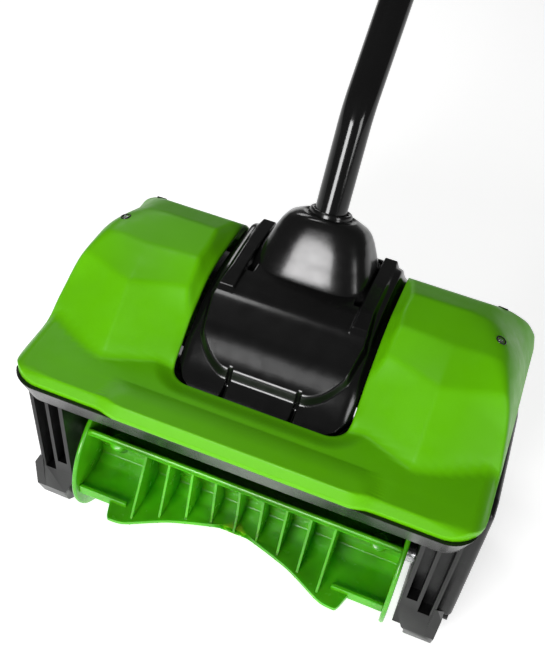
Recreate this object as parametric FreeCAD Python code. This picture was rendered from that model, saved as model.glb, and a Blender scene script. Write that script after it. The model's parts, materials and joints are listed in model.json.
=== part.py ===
import FreeCAD, Part
import math
import os

V = FreeCAD.Vector

# Frame: +X to the object's left hand side as it travels, -Y forwards, +Z up.
# The pieces are drawn about a point on the ground, under the rotor's axis, midway between the
# two side frames. They are kept about the bottom centre of the whole machine's bounding box.

# ---- driving dimensions, millimetres ----
TO_BOX_CENTRE = V(-3.0, -344.64, 0)
ROTOR_AXIS_Z = 76.0
ROTOR_RADIUS = 72.5
DISC_RADIUS = 62.0
DISC_INNER_X = 135.0
DISC_THICKNESS = 4.0
FRAME_INNER_X = 146.0
FRAME_OUTER_X = 174.0
FOOT_OUTER_X = 181.0
LIP_HALF_WIDTH = 181.0
HOOD_WALL = 2.6
HOUSING_RADIUS = 86.0
HOUSING_WALL = 3.0

MOTOR_Y = 90.0
MOTOR_Z = 182.0
MOTOR_RADIUS = 29.0
MOTOR_PULLEY_RADIUS = 8.5
ROTOR_PULLEY_RADIUS = 28.0
BELT_THICKNESS = 3.0
BELT_CLEARANCE = 0.3
BELT_X0 = 153.0
BELT_X1 = 167.0

MOTOR_CAN_X0 = -52.0
MOTOR_CAN_X1 = 62.0

TUBE_RADIUS = 12.7
TUBE_WALL = 1.5
LOWER_TUBE_LEAN = 23.4
UPPER_TUBE_LEAN = 45.0
BEND_POINT = V(0, 144.4, 372.3)
BEND_RADIUS = 70.0
LOWER_TUBE_BELOW_BEND = 152.0
LOWER_TUBE_ABOVE_BEND = 150.0
UPPER_TUBE_END = 556.0

AUX_CLAMP_Z = 330.0
RUNNING_FIT = 0.05
MOVING_GAP = 0.4


# ---- shape helpers ----
def box(x0, y0, z0, x1, y1, z1):
    return Part.makeBox(x1 - x0, y1 - y0, z1 - z0, V(x0, y0, z0))


def prism_x(points, x0, x1):
    """A (y, z) outline carried along X."""
    corners = [V(x0, y, z) for y, z in points]
    return Part.Face(Part.makePolygon(corners + corners[:1])).extrude(V(x1 - x0, 0, 0))


def prism_y(points, y0, y1):
    """An (x, z) outline carried along Y."""
    corners = [V(x, y0, z) for x, z in points]
    return Part.Face(Part.makePolygon(corners + corners[:1])).extrude(V(0, y1 - y0, 0))


def prism_z(points, z0, z1):
    """An (x, y) outline carried along Z."""
    corners = [V(x, y, z0) for x, y in points]
    return Part.Face(Part.makePolygon(corners + corners[:1])).extrude(V(0, 0, z1 - z0))


def rod(start, direction, radius, length):
    return Part.makeCylinder(radius, length, V(*start), V(*direction))


def tube(start, direction, outer, inner, length):
    return rod(start, direction, outer, length).cut(rod(start, direction, inner, length))


def joined(shapes):
    first = shapes[0]
    return first.fuse(shapes[1:]).removeSplitter() if len(shapes) > 1 else first


def mirrored(shape):
    return shape.mirror(V(0, 0, 0), V(1, 0, 0))


def edges_along(shape, axis, keep):
    """Straight edges parallel to one axis whose middle passes the keep test."""
    chosen = []
    for edge in shape.Edges:
        if edge.Curve.TypeId != "Part::GeomLine":
            continue
        run = edge.Vertexes[-1].Point - edge.Vertexes[0].Point
        run.normalize()
        if abs(abs(run.dot(axis)) - 1) < 1e-6 and keep(edge.CenterOfMass):
            chosen.append(edge)
    return chosen


def softened(shape, axis, radius, keep=lambda middle: True):
    edges = edges_along(shape, axis, keep)
    return shape.makeFillet(radius, edges) if edges else shape


ALONG_X = V(1, 0, 0)
ALONG_Y = V(0, 1, 0)
ALONG_Z = V(0, 0, 1)


def arc_points(centre_y, centre_z, radius, start_deg, end_deg, count):
    step = (end_deg - start_deg) / (count - 1)
    angles = [math.radians(start_deg + step * index) for index in range(count)]
    return [(centre_y + radius * math.cos(a), centre_z + radius * math.sin(a)) for a in angles]


def on_shaft(shape):
    """Places a shape built upright, with the shaft as its Z axis and the bend as its origin."""
    placed = shape.copy()
    placed.rotate(V(0, 0, 0), ALONG_X, -UPPER_TUBE_LEAN)
    placed.translate(BEND_POINT)
    return placed


def screw(head, direction, length, head_radius=3.6, shank_radius=1.9, head_height=2.6):
    """A pan head screw: the point is where the head's underside sits."""
    way = V(*direction)
    way.normalize()
    start = V(*head)
    cap = Part.makeCylinder(head_radius, head_height, start, way * -1)
    recess = Part.makeCylinder(head_radius * 0.45, head_height * 0.6, start - way * head_height, way)
    return cap.cut(recess).fuse(Part.makeCylinder(shank_radius, length, start, way)).removeSplitter()


# ---- auger housing: the curved shell behind and over the rotor, with its front rim ----
RIM_LOW_Z = 181.0
RIM_TOP_Z = 204.8


def rim_outline(front_y, half_width, corner, z):
    """The rim's plan: a straight front with rounded corners that turn back along the sides."""
    back_y = -42.0
    front = Part.makeLine(V(-half_width + corner, front_y, z), V(half_width - corner, front_y, z))
    diagonal = corner * (1 - math.sqrt(0.5))
    right = Part.Arc(V(half_width - corner, front_y, z),
                     V(half_width - diagonal, front_y + diagonal, z),
                     V(half_width, front_y + corner, z)).toShape()
    right_side = Part.makeLine(V(half_width, front_y + corner, z), V(half_width, back_y, z))
    back = Part.makeLine(V(half_width, back_y, z), V(-half_width, back_y, z))
    left_side = Part.makeLine(V(-half_width, back_y, z), V(-half_width, front_y + corner, z))
    left = Part.Arc(V(-half_width, front_y + corner, z),
                    V(-half_width + diagonal, front_y + diagonal, z),
                    V(-half_width + corner, front_y, z)).toShape()
    return Part.Wire([front, right, right_side, back, left_side, left])


def rim_block(inset):
    top = rim_outline(-76 + inset, LIP_HALF_WIDTH - inset, 24, RIM_TOP_Z)
    bottom = rim_outline(-66 + inset, FRAME_OUTER_X + 1 - inset, 18, RIM_LOW_Z)
    return Part.makeLoft([bottom, top], True, True)


def make_auger_housing():
    outer_arc = arc_points(0, ROTOR_AXIS_Z, HOUSING_RADIUS + HOUSING_WALL, 74, -48, 21)
    inner_arc = arc_points(0, ROTOR_AXIS_Z, HOUSING_RADIUS, -48, 74, 21)
    roof = [(-68, 203)] + outer_arc + inner_arc + [(-64, 199)]
    shell = prism_x(roof, -FRAME_INNER_X, FRAME_INNER_X)
    rim = rim_block(0).cut(rim_block(3.2))
    frame_room = box(FRAME_INNER_X, -60, RIM_LOW_Z - 1, 200, 0, RIM_TOP_Z + 1)
    rim = rim.cut(frame_room).cut(mirrored(frame_room))
    top_flange = prism_x([(-72, 202.2), (-72, RIM_TOP_Z), (-52, RIM_TOP_Z), (-46, 196),
                          (-58, 198.8)], -FRAME_INNER_X, FRAME_INNER_X)
    rib_height = 12
    ribs = []
    for x in (-105, -52, 52, 105):
        back = arc_points(0, ROTOR_AXIS_Z, HOUSING_RADIUS + HOUSING_WALL + rib_height, 40, -30, 11)
        front = arc_points(0, ROTOR_AXIS_Z, HOUSING_RADIUS + 1, -30, 40, 11)
        ribs.append(prism_x(back + front, x - 1.5, x + 1.5))
    return joined([shell, rim, top_flange] + ribs)


# ---- side frames: pocketed walls that carry the bearings and end in skid feet ----
FRAME_OUTLINE = [(-58, 201), (-57, 178), (-49, 76), (-50, 44), (-40, 20), (-18, 0), (92, 0),
                 (124, 16), (146, 60), (154, 120), (148, 176), (136, 204), (112, 226),
                 (14, 226), (-12, 212), (-24, 204)]
FOOT_OUTLINE = [(-50, 86), (-50, 44), (-40, 20), (-18, 0), (92, 0), (124, 16), (118, 27),
                (-20, 27), (-36, 44), (-38, 70)]
FOOT_FRONT_VIEW = [(172, 0), (176, 0), (181, 9), (181, 74), (174.5, 88), (172, 88)]
HOLLOW_OUTLINE = [(-34.5, 200), (-34.5, 40), (-24, 29), (84, 29), (116, 60), (140, 120),
                  (134, 176), (124, 198), (106, 218), (18, 218), (-8, 205)]
POCKET_BACK_Y = -37.0
HOLLOW_FLOOR_X = 149.6
POST_RADIUS = 5.0


def make_side_frame():
    """The +X frame; the other one is its mirror image."""
    body = prism_x(FRAME_OUTLINE, FRAME_INNER_X, FRAME_OUTER_X)
    foot = prism_x(FOOT_OUTLINE, FRAME_OUTER_X - 1, FOOT_OUTER_X)
    foot = foot.common(prism_y(FOOT_FRONT_VIEW, -60, 130))
    body = joined([body, foot])
    body = softened(body, ALONG_X, 9, lambda m: m.z < 30 and m.y < 100)
    toe_chamfer = prism_y([(FRAME_INNER_X - 1, 66), (FRAME_INNER_X - 1, -1), (158, -1), (156, 38)],
                          -60, -24)
    body = body.cut(toe_chamfer)
    for x0, x1, floor in ((149.5, 158.2, 92), (161.2, 170.8, 78)):
        pocket = prism_x([(-70, 199), (-70, floor), (POCKET_BACK_Y, floor - 8),
                          (POCKET_BACK_Y, 199)], x0, x1)
        body = body.cut(pocket)
    body = body.cut(prism_x(HOLLOW_OUTLINE, HOLLOW_FLOOR_X, FRAME_OUTER_X + 1))
    bearing_seat = rod((FRAME_INNER_X, 0, ROTOR_AXIS_Z), (1, 0, 0), 17, 7)
    bearing_bore = rod((FRAME_INNER_X - 1, 0, ROTOR_AXIS_Z), (1, 0, 0), 13, 10)
    return joined([body, bearing_seat]).cut(bearing_bore)


SHAFT_WINDOW_RADIUS = 12.0


def make_motor_side_frame():
    """The +X frame carries the belt, so the motor shaft passes through its wall."""
    window = rod((FRAME_INNER_X - 1, MOTOR_Y, MOTOR_Z), (1, 0, 0), SHAFT_WINDOW_RADIUS, 10)
    return make_side_frame().cut(window)


COVER_OUTLINE = [(-32, 196), (-32, 42), (-22, 32), (82, 32), (112, 62), (137, 121), (131, 174),
                 (121, 196), (103, 214), (16, 214), (-8, 202)]
BULGE_OUTLINE = [(-26, 186), (-26, 46), (-18, 38), (78, 38), (106, 66), (131, 122), (127, 152),
                 (106, 164), (40, 180), (-10, 190)]
COVER_SCREWS = [(-18, 120), (40, 170), (118, 150), (92, 84), (44, 44), (-20, 42)]
COVER_INNER_X = FRAME_OUTER_X + 0.2
COVER_OUTER_X = 189.0
SKIN = 2.6
SCREW_SINK_X = 184.5


def make_belt_cover():
    """A dished cover over the belt, standing proud of the +X frame."""
    plate = softened(prism_x(COVER_OUTLINE, COVER_INNER_X, COVER_INNER_X + SKIN), ALONG_X, 10)
    bulge = softened(prism_x(BULGE_OUTLINE, COVER_INNER_X, COVER_OUTER_X), ALONG_X, 7)
    face = [edge for edge in bulge.Edges
            if min(v.X for v in edge.Vertexes) > COVER_OUTER_X - 0.1]
    bulge = bulge.makeFillet(4.5, face)
    middle = V(0, 50, 110)
    shrink = FreeCAD.Matrix()
    shrink.move(middle * -1)
    shrink.scale(1, 0.955, 0.96)
    shrink.move(middle)
    shrink.move(V(-SKIN, 0, 0))
    cover = joined([plate, bulge]).cut(bulge.transformGeometry(shrink))
    for y, z in COVER_SCREWS:
        cover = cover.fuse(rod((COVER_INNER_X, y, z), (1, 0, 0), 6, 13))
    for y, z in COVER_SCREWS:
        cover = cover.cut(rod((COVER_INNER_X - 1, y, z), (1, 0, 0), 2.1, 20))
        cover = cover.cut(rod((SCREW_SINK_X, y, z), (1, 0, 0), 4.4, 8))
    return cover.removeSplitter()


def make_cover_screws():
    return [screw((SCREW_SINK_X, y, z), (-1, 0, 0), 20) for y, z in COVER_SCREWS]


def make_end_plate():
    """The flat plate that closes the -X frame."""
    plate = softened(prism_x(COVER_OUTLINE, -COVER_INNER_X - SKIN, -COVER_INNER_X), ALONG_X, 10)
    for y, z in COVER_SCREWS:
        plate = plate.cut(rod((-182, y, z), (1, 0, 0), 2.1, 10))
    return plate


def make_end_plate_screws():
    return [screw((-COVER_INNER_X - SKIN, y, z), (1, 0, 0), 14) for y, z in COVER_SCREWS]


def with_posts(frame, side):
    """Adds the screw posts behind the cover and the two towers under the hood."""
    start = HOLLOW_FLOOR_X - 0.5
    for y, z in COVER_SCREWS:
        post = rod((start, y, z), (1, 0, 0), POST_RADIUS, FRAME_OUTER_X - start)
        hole = rod((start + 4, y, z), (1, 0, 0), 1.9, FRAME_OUTER_X - start)
        frame = frame.fuse(post).cut(hole)
    for x, y, z in HOOD_SCREWS:
        foot_z = 218 if y < 100 else 204
        top_z = z - HOOD_POST_DEPTH - 0.2
        frame = frame.fuse(rod((x, y, foot_z), (0, 0, 1), POST_RADIUS, top_z - foot_z))
        frame = frame.cut(rod((x, y, foot_z + 3), (0, 0, 1), 1.9, top_z))
    frame = frame.removeSplitter()
    return mirrored(frame) if side < 0 else frame


# ---- hood: the moulded cover with a lobe each side of the motor cover ----
HOOD_PROFILE = [(-73, 205), (-73, 209), (-69, 215), (-36, 215), (-27, 223), (14, 257), (44, 270),
                (82, 275), (112, 267), (140, 240), (156, 200), (160, 160)]
HOOD_FRONT_VIEW = [(183, 150), (183, 212), (176, 232), (168, 256), (158, 268), (146, 280)]
CUT_HALF_WIDTH = 73.0
CUT_FRONT_Y = -26.0


def hood_block(inset):
    """The hood's outer form, or its inside when inset by the wall."""
    drop = inset
    profile = []
    for y, z in HOOD_PROFILE:
        towards_y = 45.0
        towards_z = 150.0
        reach = math.hypot(y - towards_y, z - towards_z)
        scale = (reach - drop * 1.15) / reach
        profile.append((towards_y + (y - towards_y) * scale, towards_z + (z - towards_z) * scale))
    base_z = 150.0 if inset == 0 else 140.0
    closed = profile + [(profile[-1][0], base_z), (profile[0][0], base_z)]
    block = prism_x(closed, -190, 190)
    right = [(x - inset * 0.9, z - inset * 0.5) for x, z in HOOD_FRONT_VIEW]
    right[0] = (right[0][0], 130)
    outline = right + [(-x, z) for x, z in reversed(right)]
    block = block.common(prism_y(outline, -100, 200))
    valley = [(-CUT_HALF_WIDTH - 26 - inset, 300), (-CUT_HALF_WIDTH - 7 - inset, 262),
              (-CUT_HALF_WIDTH - inset, 216 - inset), (CUT_HALF_WIDTH + inset, 216 - inset),
              (CUT_HALF_WIDTH + 7 + inset, 262), (CUT_HALF_WIDTH + 26 + inset, 300)]
    return block.cut(prism_y(valley, -60, 200))


def make_top_hood():
    shell = hood_block(0).cut(hood_block(HOOD_WALL))
    front_corner = [(200, -90), (200, -46), (183, -46), (178, -60), (168, -70), (150, -74),
                    (150, -90)]
    shell = shell.cut(prism_z(front_corner, 140, 300))
    shell = shell.cut(mirrored(prism_z(front_corner, 140, 300)))
    below_sides = prism_x([(-80, 100), (-80, 205), (-38, 205), (40, 190), (110, 168), (156, 160),
                           (170, 160), (170, 100)], -200, 200)
    shell = shell.cut(below_sides)
    cut_out = prism_z([(-CUT_HALF_WIDTH + 14, CUT_FRONT_Y), (CUT_HALF_WIDTH - 14, CUT_FRONT_Y),
                       (CUT_HALF_WIDTH, CUT_FRONT_Y + 14), (CUT_HALF_WIDTH, 200),
                       (-CUT_HALF_WIDTH, 200), (-CUT_HALF_WIDTH, CUT_FRONT_Y + 14)], 140, 300)
    shell = shell.cut(cut_out)
    bump = Part.makeLoft([
        Part.makePolygon([V(-108, y, z) for y, z in BUMP_SECTION_LOW]),
        Part.makePolygon([V(-89, y, z) for y, z in BUMP_SECTION_HIGH]),
        Part.makePolygon([V(89, y, z) for y, z in BUMP_SECTION_HIGH]),
        Part.makePolygon([V(108, y, z) for y, z in BUMP_SECTION_LOW])], True, True)
    shell = shell.fuse(bump)
    posts = []
    for x, y, z in HOOD_SCREWS:
        for side in (1, -1):
            posts.append(rod((side * x, y, z - HOOD_POST_DEPTH), (0, 0, 1), POST_RADIUS,
                             HOOD_POST_DEPTH - 2))
    shell = shell.fuse(posts)
    for x, y, z in HOOD_SCREWS:
        for side in (1, -1):
            shell = shell.cut(rod((side * x, y, z - 30), (0, 0, 1), 2.1, 60))
            shell = shell.cut(rod((side * x, y, z - HOOD_SCREW_SINK), (0, 0, 1), 4.2, 30))
    return shell.removeSplitter()


BUMP_SECTION_LOW = [(-73, 207), (-73, 209), (-69.5, 214.5), (-46, 214.5), (-46, 207), (-73, 207)]
BUMP_SECTION_HIGH = [(-74, 207), (-76, 214), (-70, 223), (-48, 216), (-46, 207), (-74, 207)]
HOOD_SCREWS = [(153, 68, 271), (150, 128, 250)]
HOOD_POST_DEPTH = 24.0
HOOD_SCREW_SINK = 5.0


def make_hood_screws():
    solids = []
    for x, y, z in HOOD_SCREWS:
        for side in (1, -1):
            solids.append(screw((side * x, y, z - HOOD_SCREW_SINK), (0, 0, -1), 30))
    return solids


# ---- motor cover, tube boot and rear cover ----
MOTOR_COVER_PROFILE = [(-24, 205), (-24, 211), (-16, 217), (6, 240), (36, 256), (60, 260),
                       (132, 258), (142, 244), (146, 205)]


def motor_cover_block(inset, width):
    profile = []
    for y, z in MOTOR_COVER_PROFILE:
        reach = math.hypot(y - 60, z - 205)
        scale = (reach - inset * 1.1) / reach
        profile.append((60 + (y - 60) * scale, 205 + (z - 205) * scale))
    if inset:
        profile[0] = (profile[0][0], 200)
        profile[-1] = (profile[-1][0], 200)
    return prism_x(profile, -width + inset, width - inset)


def make_motor_cover():
    base = motor_cover_block(0, 70)
    base = base.cut(prism_z([(-75, -30), (-52, -30), (-70, -6), (-75, -6)], 190, 270))
    base = base.cut(prism_z([(75, -30), (52, -30), (70, -6), (75, -6)], 190, 270))
    hollow = motor_cover_block(2.6, 70)
    tongue = prism_x([(-10, 218), (-12, 226), (8, 247), (36, 260), (50, 261), (50, 250), (20, 240)],
                     -55, 55)
    cover = base.cut(hollow).fuse(tongue)
    bands = []
    for side in (1, -1):
        band = prism_x([(40, 254), (46, 262), (84, 264), (130, 262), (136, 256), (60, 256)], 48, 66)
        bands.append(band if side > 0 else mirrored(band))
    cover = cover.fuse(bands)
    for side in (1, -1):
        vent = prism_y([(side * 42, 250), (side * 46, 250), (side * 46, 275), (side * 42, 275)],
                       74, 124)
        cover = cover.cut(vent)
    for x in (-27.5, 27.5):
        cover = cover.cut(box(x - 1.5, -30, 200, x + 1.5, -8, 213))
    tube_opening = rod((0, 83, 232), tube_direction(), 20, 60)
    return cover.cut(tube_opening).removeSplitter()


def tube_direction():
    lean = math.radians(LOWER_TUBE_LEAN)
    return (0, math.sin(lean), math.cos(lean))


def boot_section(height, half_width, half_depth, corner, centre_y):
    """A rounded rectangle, level, with its middle at the given depth."""
    x = half_width
    y = half_depth
    plate = prism_z([(-x, -y), (x, -y), (x, y), (-x, y)], 0, 1)
    plate = softened(plate, ALONG_Z, corner)
    outline = [face for face in plate.Faces if abs(face.CenterOfMass.z) < 1e-6][0].OuterWire
    outline.translate(V(0, centre_y, height))
    return outline


BOOT_BASE_Z = 260.2
BOOT_TOP_Z = 308.0


def boot_block(inset):
    low = boot_section(BOOT_BASE_Z - (5 if inset else 0), 45 - inset, 33 - inset, 15 - inset, 99)
    mid = boot_section(BOOT_BASE_Z + 8, 41.5 - inset, 30.5 - inset, 15 - inset, 101)
    top = boot_section(BOOT_TOP_Z - inset, 27 - inset, 23 - inset, 15 - inset, 116.5)
    return Part.makeLoft([low, mid, top], True, True)


def make_tube_boot():
    boot = boot_block(0).cut(boot_block(2.8))
    way = V(*tube_direction())
    collar_start = V(0, 116.6, BOOT_TOP_Z) - way * 9
    collar = Part.makeCylinder(19.5, 12, collar_start, way)
    bore = Part.makeCylinder(TUBE_RADIUS + 0.3, 60, collar_start - way * 20, way)
    return boot.fuse(collar).cut(bore).removeSplitter()


def make_rear_cover():
    """The black panel that closes the back between the lobes and carries the air outlet."""
    outline = [(143, 200), (152, 196), (158, 150), (150, 96), (146, 96), (153, 150), (146, 196)]
    panel = prism_x(outline, -FRAME_INNER_X + 0.5, FRAME_INNER_X - 0.5)
    for index in range(9):
        x = -48 + index * 12
        panel = panel.cut(box(x - 3, 130, 150, x + 3, 170, 184))
    return panel


# ---- motor group ----
def make_motor_can():
    can = tube((MOTOR_CAN_X0, MOTOR_Y, MOTOR_Z), (1, 0, 0), MOTOR_RADIUS, MOTOR_RADIUS - 2,
               MOTOR_CAN_X1 - MOTOR_CAN_X0)
    for x in (MOTOR_CAN_X0, MOTOR_CAN_X1 - 3):
        plate = tube((x, MOTOR_Y, MOTOR_Z), (1, 0, 0), MOTOR_RADIUS - 2, 8, 3)
        can = can.fuse(plate)
    return can.removeSplitter()


def make_motor_magnets():
    """Four curved magnets bonded inside the can."""
    ring = tube((-40, MOTOR_Y, MOTOR_Z), (1, 0, 0), MOTOR_RADIUS - 2, MOTOR_RADIUS - 7, 70)
    solids = []
    for index in range(4):
        slot = box(-41, -3, 0, 31, 3, 40)
        slot.rotate(V(0, 0, 0), ALONG_X, 45 + 90 * index)
        slot.translate(V(0, MOTOR_Y, MOTOR_Z))
        ring = ring.cut(slot)
    solids.extend(ring.Solids)
    return solids


def make_motor_bearings():
    return [tube((x, MOTOR_Y, MOTOR_Z), (1, 0, 0), 8, 4 + RUNNING_FIT, 6) 
            for x in (MOTOR_CAN_X0 - 3, MOTOR_CAN_X1 - 3)]


def make_motor_shaft():
    start = MOTOR_CAN_X0 - 14
    return rod((start, MOTOR_Y, MOTOR_Z), (1, 0, 0), 4, BELT_X1 + 3 - start)


def make_motor_armature():
    core = tube((-30, MOTOR_Y, MOTOR_Z), (1, 0, 0), MOTOR_RADIUS - 8.5, 4, 55)
    for index in range(12):
        slot = box(-31, -1.2, MOTOR_RADIUS - 16, 26, 1.2, MOTOR_RADIUS)
        slot.rotate(V(0, 0, 0), ALONG_X, 30 * index)
        slot.translate(V(0, MOTOR_Y, MOTOR_Z))
        core = core.cut(slot)
    return core


def make_motor_fan():
    start = MOTOR_CAN_X0 - 13
    blades = [tube((start, MOTOR_Y, MOTOR_Z), (1, 0, 0), 8, 4, 9)]
    for index in range(9):
        blade = box(start, -0.9, 7, start + 8, 0.9, 25)
        blade.rotate(V(0, 0, 0), ALONG_X, 40 * index)
        blade.translate(V(0, MOTOR_Y, MOTOR_Z))
        blades.append(blade)
    blades.append(tube((start + 7.4, MOTOR_Y, MOTOR_Z), (1, 0, 0), 25, 4, 1.6))
    return joined(blades)


def grooved_pulley(y, z, radius, bore, x0, x1, ribs):
    pulley = tube((x0, y, z), (1, 0, 0), radius, bore, x1 - x0)
    for flange_x in (x0 - 2.0, x1):
        pulley = pulley.fuse(tube((flange_x, y, z), (1, 0, 0), radius + 2.2, bore, 2.0))
    pitch = (x1 - x0) / (ribs + 1)
    for index in range(ribs):
        x = x0 + pitch * (index + 0.75)
        groove = tube((x, y, z), (1, 0, 0), radius + 1, radius - 1, pitch * 0.5)
        pulley = pulley.cut(groove)
    return pulley.removeSplitter()


def make_motor_pulley():
    return grooved_pulley(MOTOR_Y, MOTOR_Z, MOTOR_PULLEY_RADIUS, 4, BELT_X0, BELT_X1, 4)


def make_rotor_pulley():
    pulley = grooved_pulley(0, ROTOR_AXIS_Z, ROTOR_PULLEY_RADIUS, 6, BELT_X0 + 2.2, BELT_X1, 4)
    for index in range(6):
        angle = math.radians(60 * index)
        hole_y = 24 * math.cos(angle)
        hole_z = ROTOR_AXIS_Z + 24 * math.sin(angle)
        pulley = pulley.cut(rod((BELT_X0 - 1, hole_y, hole_z), (1, 0, 0), 6, 20))
    return pulley


def belt_loop(extra):
    """The closed outline round both pulleys, offset by the given amount."""
    big = ROTOR_PULLEY_RADIUS + extra
    small = MOTOR_PULLEY_RADIUS + extra
    away = V(0, MOTOR_Y, MOTOR_Z - ROTOR_AXIS_Z)
    centres = away.Length
    heading = math.atan2(away.z, away.y)
    spread = math.acos((big - small) / centres)
    x = BELT_X0 + 2.6

    def point(centre_y, centre_z, radius, angle):
        return V(x, centre_y + radius * math.cos(angle), centre_z + radius * math.sin(angle))

    big_a = point(0, ROTOR_AXIS_Z, big, heading + spread)
    big_m = point(0, ROTOR_AXIS_Z, big, heading + math.pi)
    big_b = point(0, ROTOR_AXIS_Z, big, heading - spread)
    small_a = point(MOTOR_Y, MOTOR_Z, small, heading + spread)
    small_m = point(MOTOR_Y, MOTOR_Z, small, heading)
    small_b = point(MOTOR_Y, MOTOR_Z, small, heading - spread)
    wire = Part.Wire([Part.Arc(big_a, big_m, big_b).toShape(), Part.makeLine(big_b, small_b),
                      Part.Arc(small_b, small_m, small_a).toShape(),
                      Part.makeLine(small_a, big_a)])
    return Part.Face(wire).extrude(V(BELT_X1 - BELT_X0 - 3.2, 0, 0))


def make_drive_belt():
    return belt_loop(BELT_CLEARANCE + BELT_THICKNESS).cut(belt_loop(BELT_CLEARANCE))


def make_motor_mount():
    """A saddle plate that holds the motor and ties the two side frames together."""
    plate = prism_x([(52, 150.6), (120, 150.6), (128, 160), (128, 176), (124, 176), (124, 162),
                     (117, 154.6), (63, 154.6), (56, 160), (56, 176), (52, 176)],
                    -FRAME_INNER_X, FRAME_INNER_X)
    cradle_x = (-50, 44)
    plate = plate.cut(rod((-FRAME_INNER_X - 1, 0, ROTOR_AXIS_Z), (1, 0, 0),
                          HOUSING_RADIUS + HOUSING_WALL + 12.2, 2 * FRAME_INNER_X + 2))
    for x in cradle_x:
        rib = prism_x([(56, 153), (124, 153), (124, 182), (56, 182)], x, x + 6)
        plate = plate.fuse(rib)
    plate = plate.cut(rod((-66, MOTOR_Y, MOTOR_Z), (1, 0, 0), MOTOR_RADIUS, 132))
    return plate.removeSplitter()


def make_motor_straps():
    straps = []
    for x in (-50, 44):
        band = tube((x, MOTOR_Y, MOTOR_Z), (1, 0, 0), MOTOR_RADIUS + 2, MOTOR_RADIUS, 6)
        band = band.common(box(x, 40, MOTOR_Z, x + 6, 140, 240))
        for y in (MOTOR_Y - MOTOR_RADIUS - 8, MOTOR_Y + MOTOR_RADIUS):
            band = band.fuse(box(x, y, MOTOR_Z, x + 6, y + 8, MOTOR_Z + 2))
        straps.append(band.cut(box(x - 1, 0, 0, x + 7, 55.9, 400)).removeSplitter())
    return straps


# ---- rotor ----
RIB_COUNT = 9
RIB_PITCH = 20.5
TIP_X = 104.0
END_RADIUS = 55.0
SCOOP_RADIUS = 38.0


def blade_face():
    """The paddle in plan: full reach near its two tips, scooped between, shorter at the ends."""
    reach = ROTOR_RADIUS
    points = [(-DISC_INNER_X, 0), (-DISC_INNER_X, END_RADIUS), (-TIP_X - 4, END_RADIUS),
              (-TIP_X - 1, reach - 3), (-TIP_X + 4, reach)]
    steps = 20
    span = TIP_X - 6
    for index in range(steps + 1):
        x = -span + 2 * span * index / steps
        rise = (reach - 0.5 - SCOOP_RADIUS) * math.cos(math.pi * x / (2 * TIP_X - 8))
        points.append((x, reach - 0.5 - rise))
    points += [(TIP_X - 4, reach), (TIP_X + 1, reach - 3), (TIP_X + 4, END_RADIUS),
               (DISC_INNER_X, END_RADIUS), (DISC_INNER_X, 0)]
    return points


def make_trough():
    """One half of the rotor: a curved scoop stiffened by thin ribs."""
    wall = 3.0
    outer = [(-72.5, -11), (-24, -12), (-10, -6), (-10, 8), (-15, 21.5), (-35, 50)]
    inner = [(-38, 47.6), (-18, 19), (-13, 7), (-13, -3.5), (-24, -8.8), (-72.5, -8)]
    scoop = prism_x(outer + inner, -DISC_INNER_X, DISC_INNER_X)
    plan = prism_z([(x, -reach) for x, reach in blade_face()], -30, 0)
    upper = box(-DISC_INNER_X, -80, 0, DISC_INNER_X, 0, 80)
    scoop = scoop.common(joined([plan, upper]))
    ribs = []
    for index in range(RIB_COUNT):
        x = (index - (RIB_COUNT - 1) / 2) * RIB_PITCH
        rib = prism_x([(-71, -9), (-22, -10), (-11, -5), (-11, 8), (-16, 21), (-36.5, 48.5)],
                      x - wall / 3, x + wall / 3)
        ribs.append(rib.common(joined([plan.copy(), upper.copy(), rib_room(x)])))
    rim = prism_x([(-38.5, 46.5), (-34.5, 49.3), (-32, 46), (-36, 43)], -DISC_INNER_X, DISC_INNER_X)
    lips = []
    for side in (1, -1):
        lip = box(TIP_X - 14, -END_RADIUS - 1.5, -11, DISC_INNER_X, -END_RADIUS + 1.5, -2)
        lips.append(lip if side > 0 else mirrored(lip))
    return joined([scoop, rim] + ribs + lips)


def rib_room(x):
    """Above the paddle a rib may reach only as far as the paddle does at the same place."""
    plan = blade_face()
    reach = ROTOR_RADIUS
    for (x0, r0), (x1, r1) in zip(plan, plan[1:]):
        if x0 <= x <= x1 and x1 > x0:
            reach = r0 + (r1 - r0) * (x - x0) / (x1 - x0)
    return prism_x([(-reach, -12), (-reach, 0), (-reach + 6, 12), (-10, 60), (0, 60), (0, -12)],
                   x - 3, x + 3)


def make_rotor_moulding():
    trough = make_trough()
    back = trough.copy()
    back.rotate(V(0, 0, 0), ALONG_X, 180)
    hub = rod((-DISC_INNER_X, 0, 0), (1, 0, 0), 14, 2 * DISC_INNER_X)
    discs = []
    for x in (-DISC_INNER_X - DISC_THICKNESS, DISC_INNER_X):
        disc = rod((x, 0, 0), (1, 0, 0), DISC_RADIUS, DISC_THICKNESS)
        rim = [edge for edge in disc.Edges if edge.Length > 300]
        discs.append(disc.makeFillet(1.2, rim))
    bosses = []
    for x in (-116, 116):
        bosses.append(rod((x, -12, 14), (0, -0.6, 0.8), 8, 18))
        bosses.append(rod((x, 12, -14), (0, 0.6, -0.8), 8, 18))
    rotor = joined([trough, back, hub] + discs + bosses)
    rotor = rotor.cut(rod((-150, 0, 0), (1, 0, 0), 6, 300))
    rotor.translate(V(0, 0, ROTOR_AXIS_Z))
    return rotor


def make_rotor_axle():
    axle = rod((-163, 0, ROTOR_AXIS_Z), (1, 0, 0), 6, 163 + BELT_X1 + 4)
    ends = [edge for edge in axle.Edges if edge.Curve.TypeId == "Part::GeomCircle"]
    return axle.makeChamfer(0.8, ends)


def make_axle_spacers():
    return [tube((x, 0, ROTOR_AXIS_Z), (1, 0, 0), 9, 6, 7.0) for x in (-146.3, 139.3)]


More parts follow.
